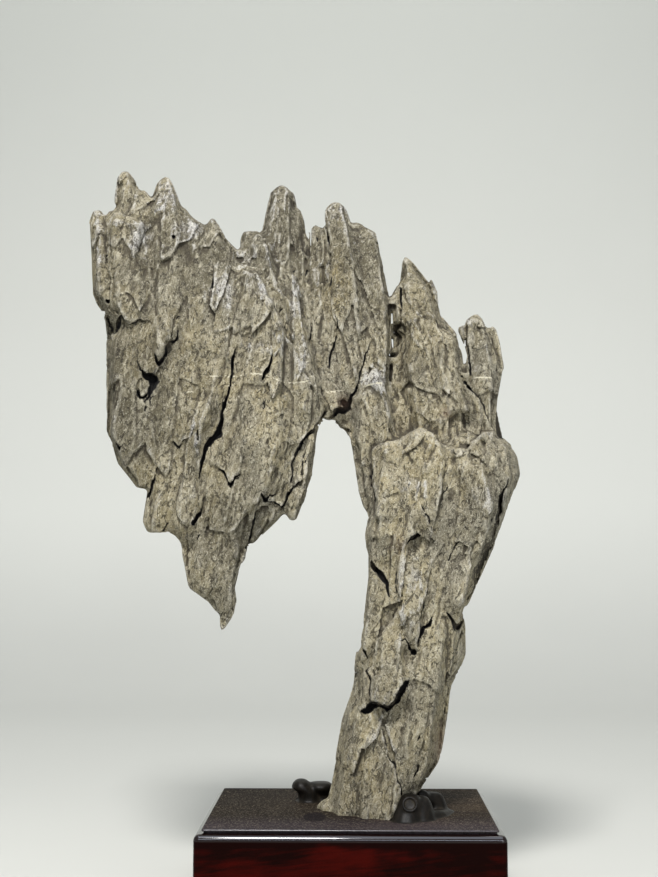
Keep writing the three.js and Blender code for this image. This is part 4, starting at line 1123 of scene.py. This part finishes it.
def stone_finish():
    finish = Finish("weathered_limestone", roughness=0.9, specular=0.25)

    def held(name):
        return finish.paint.add("ShaderNodeAttribute", {"attribute_name": name}, None, "Fac")

    lean = -0.2
    drift = finish.marks(70, (1, 1, 1.4), detail=3, rough=0.55, shift=2.7)
    cloud = finish.marks(14, (1, 1, 2.2), detail=4, rough=0.6, shift=7.3, lean=lean)
    wrinkle = finish.marks(2.4, (1, 1, 2.2), detail=3, rough=0.62, shift=4.4, lean=lean, twist=0.8)
    grain = finish.marks(0.95, (1, 1, 1.3), detail=2, rough=0.65, shift=9.1, lean=lean)
    stroke = finish.marks(7, (1, 1, 1.8), detail=4, rough=0.55, shift=12.4, lean=lean, twist=0.6)
    broken = finish.marks(4.5, (1, 1, 1.4), detail=2, shift=15.8)
    scale, rim = flakes(finish, 7, (1, 1, 2.2), 3.3, lean)
    chip, tear = flakes(finish, 2.7, (1, 1, 1.9), 8.8, lean)
    warm = (drift * 0.5 + cloud * 0.3 + scale * 0.2).between(0.36, 0.64)
    body = warm.over(tone(126, 121, 105), tone(150, 140, 110))
    pale = (cloud * 0.5 + wrinkle * 0.35 + chip * 0.15).between(0.47, 0.64)
    crest = held("crest").between(0.05, 0.6)
    shoulder = held("shoulder").between(0.2, 2.4)
    # Pale frost, with painted highlight on the crests and the shoulders that stand out.
    frost = held("frost") * 1.1 + crest * 0.35 + shoulder * 0.2
    frost = frost * (cloud * 0.6 + chip * 0.9 + wrinkle * 0.5)
    frost_and_highlight_tone = grain.between(0.4, 0.62).over(tone(158, 158, 161), tone(206, 205, 203))
    # Painted shade in the small pits and creases of the grain.
    dark = 1 - (wrinkle * 0.45 + grain * 0.55).between(0.37, 0.49)
    light = (grain * 0.65 + wrinkle * 0.35).between(0.53, 0.64)
    hair = (1 - abs(stroke - 0.5).between(0.012, 0.04)) * broken.between(0.48, 0.54)
    # Painted shadow: dark lines along the edges of the flakes.
    torn = (1 - rim.between(0.01, 0.06)) * (1 - broken.between(0.38, 0.44))
    # Painted highlight: light lines along the edges of the small flakes.
    lifted_edge_highlight = (1 - tear.between(0.02, 0.09)) * stroke.between(0.5, 0.56)
    coats = [
        # Painted shade over the broad patches.
        (held("dusk") * 0.85, tone(82, 77, 61)),
        (held("ochre") * cloud.between(0.3, 0.7), tone(156, 141, 98)),
        (pale * 0.42, tone(176, 170, 150)),
        # Pale frost and painted highlight.
        (frost.between(0.35, 1.15) * 0.75, frost_and_highlight_tone),
        # Painted shade in the grain's pits.
        (dark * 0.7, tone(64, 58, 46)),
        # Fewer light specks under the painted shade.
        (light * (0.55 - held("dusk") * 0.2), tone(214, 209, 190)),
        (hair * 0.75, tone(42, 37, 29)),
        # Painted shadow along the flakes' edges.
        (torn * 0.75, tone(44, 39, 31)),
        # Painted highlight on the small flakes' edges.
        (lifted_edge_highlight * 0.2, tone(206, 200, 182)),
    ]
    across, height = finish.axis("X"), finish.axis("Z")
    for left, right, stops, level in VEINS:
        course = finish.paint.add(
            "ShaderNodeFloatCurve", {"curve": stops},
            {"Value": (across - left) / (right - left), "Factor": 1.0})
        course = course * VEIN_SWING * 2 + (level - VEIN_SWING)
        ends = across.between(left, left + 0.004) * (1 - across.between(right - 0.004, right))
        thread = 1 - abs(height - course + (wrinkle - 0.5) * 0.004).between(0.0003, 0.0008)
        vein = thread * ends * broken.between(0.38, 0.48)
        coats.append((vein * 0.85, tone(212, 206, 184)))
    # Painted highlight on the ridges and edges that stand out.
    arris = held("crest").between(0.12, 0.5) * cloud.between(0.35, 0.6)
    # Painted shade in the small hollows and the broad recesses of the form.
    hollow_shade = 1 - held("crest").between(-0.7, 0.0)
    deep = 1 - held("shoulder").between(-2.6, -0.2)
    # Painted shade: near black inside the cracks, less where rust is.
    crack_shade = held("crack").between(0.3, 0.8) * (1 - held("rust") * 0.7)
    coats += [
        # Painted highlight on the ridges.
        (arris * 0.22, tone(200, 195, 178)),
        # Painted shade in the hollows and recesses.
        (hollow_shade * 0.75, tone(60, 54, 44)),
        (deep * 0.5, tone(52, 47, 39)),
        (held("rust") * 0.6, tone(116, 84, 70)),
        (crack_shade, tone(16, 14, 12)),
    ]
    for mask, colour in coats:
        body = mask.over(body, colour)
    coarse = finish.bump(wrinkle * 0.45 + cloud * 0.35 - hair * 0.25 - torn * 0.3, 1.6)
    loose = 0.25 + drift.between(0.45, 0.6) * 0.75
    scaled = finish.bump((scale * 0.75 + chip * 0.25) * loose, 0.4, coarse)
    normal = finish.bump(grain, 0.8, scaled)
    return finish.lay(Base_Color=body, Roughness=0.8 + grain * 0.15, Normal=normal)


stone = make_stone()
stone.data.shade_smooth()
stone.data.set_sharp_from_angle(angle=math.radians(36))
stone.data.materials.append(stone_finish())
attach(stone, "root")
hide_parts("stone")


# The room: a pale floor of matt plaster that curves up into a pale wall, with no seam between
# them, and fills the picture behind the stone. Its colour carries painted shade: the floor is
# a darker tone than the wall, and the wall darkens towards its top.
FLOOR = (200, 201, 197)
WALL = (226, 227, 222)
WALL_TOP_SHADE = (200, 202, 197)
ROOM = {"half": 4.5, "front": -3.2, "bend": 2.3, "radius": 1.0, "height": 4.5}


def make_room():
    turn = 16
    profile = [(ROOM["front"], 0.0), (ROOM["bend"] - ROOM["radius"], 0.0)]
    for step in range(1, turn + 1):
        angle = step / turn * math.pi / 2
        profile.append((
            ROOM["bend"] - ROOM["radius"] * (1 - math.sin(angle)),
            ROOM["radius"] * (1 - math.cos(angle)),
        ))
    profile.append((ROOM["bend"], ROOM["height"]))
    sides = (-ROOM["half"], ROOM["half"])
    points = [(x * 1000, y * 1000, z * 1000) for x in sides for y, z in profile]
    count = len(profile)
    faces = [(count + k, count + k + 1, k + 1, k) for k in range(count - 1)]
    return piece_from("room", points, faces)


def room_finish():
    finish = Finish("matt_plaster", roughness=0.95, specular=0.1)
    rise = finish.axis("Z") + finish.marks(400, detail=2) * 0.1
    # Painted shade: darker on the floor and at the top of the wall.
    wall = rise.between(0.0, 0.5).over(tone(*FLOOR), tone(*WALL))
    return finish.lay(Base_Color=rise.between(0.8, 2.0).over(wall, tone(*WALL_TOP_SHADE)))


room = make_room()
room.data.materials.append(room_finish())


# Soft studio light: a broad key above and to the left, a fill from the front right, a wash on
# the wall, two panels that only give the lacquer its sheen, and an even pale surround.
SHEEN = (0.78, 0.86, 1.0)
LIGHTS = [
    ("key", (-0.25, -1.25, 1.85), (-0.03, 0, 0.35), (0.4, 0.4), 49, (1.0, 0.98, 0.95)),
    ("fill", (1.1, -1.7, 0.5), (0, 0, 0.25), (1.2, 1.2), 9, (0.97, 0.98, 1.0)),
    ("wall_wash", (0.0, 0.9, 3.2), (0, 2.2, 0.6), (3.0, 0.8), 30, (1.0, 1.0, 0.98)),
    ("sheen_above", (0, -0.5, 1.6), (0, -0.1, 0.07), (1.6, 1.2), 18, SHEEN),
    ("sheen_front", (0.1, -1.6, 0.84), (0, -0.1, 0.07), (1.6, 0.12), 9, SHEEN),
]
SURROUND = {"colour": (0.86, 0.9, 0.93, 1), "strength": 0.42}

for name, place, aim, size, power, colour in LIGHTS:
    lamp = bpy.data.lights.new(name, "AREA")
    lamp.shape = "RECTANGLE"
    lamp.size, lamp.size_y = size
    lamp.energy = power
    lamp.color = colour
    holder = put(name, lamp)
    holder.location = place
    way = Vector(aim) - Vector(place)
    holder.rotation_euler = way.to_track_quat("-Z", "Y").to_euler()
    holder.visible_diffuse = not name.startswith("sheen")
world = bpy.data.worlds.new("surround")
world.use_nodes = True
surround = world.node_tree.nodes["Background"].inputs
surround["Color"].default_value = SURROUND["colour"]
surround["Strength"].default_value = SURROUND["strength"]
bpy.context.scene.world = world
bpy.context.scene.view_settings.view_transform = "Standard"


# The camera: a phone held upright, 1.16 m away, a little below the middle of the stone and
# looking up.
LENS = {"length": 53.36, "film": 36, "looks_up": 5.252, "turns_left": 1.0136}
camera_data = bpy.data.cameras.new("camera")
camera_data.lens = LENS["length"]
camera_data.sensor_width = LENS["film"]
camera = put("camera", camera_data)
camera.location = tuple(c / 1000 for c in EYE)
camera.rotation_euler = (
    math.radians(90 + LENS["looks_up"]), 0, math.radians(LENS["turns_left"]))
bpy.context.scene.camera = camera
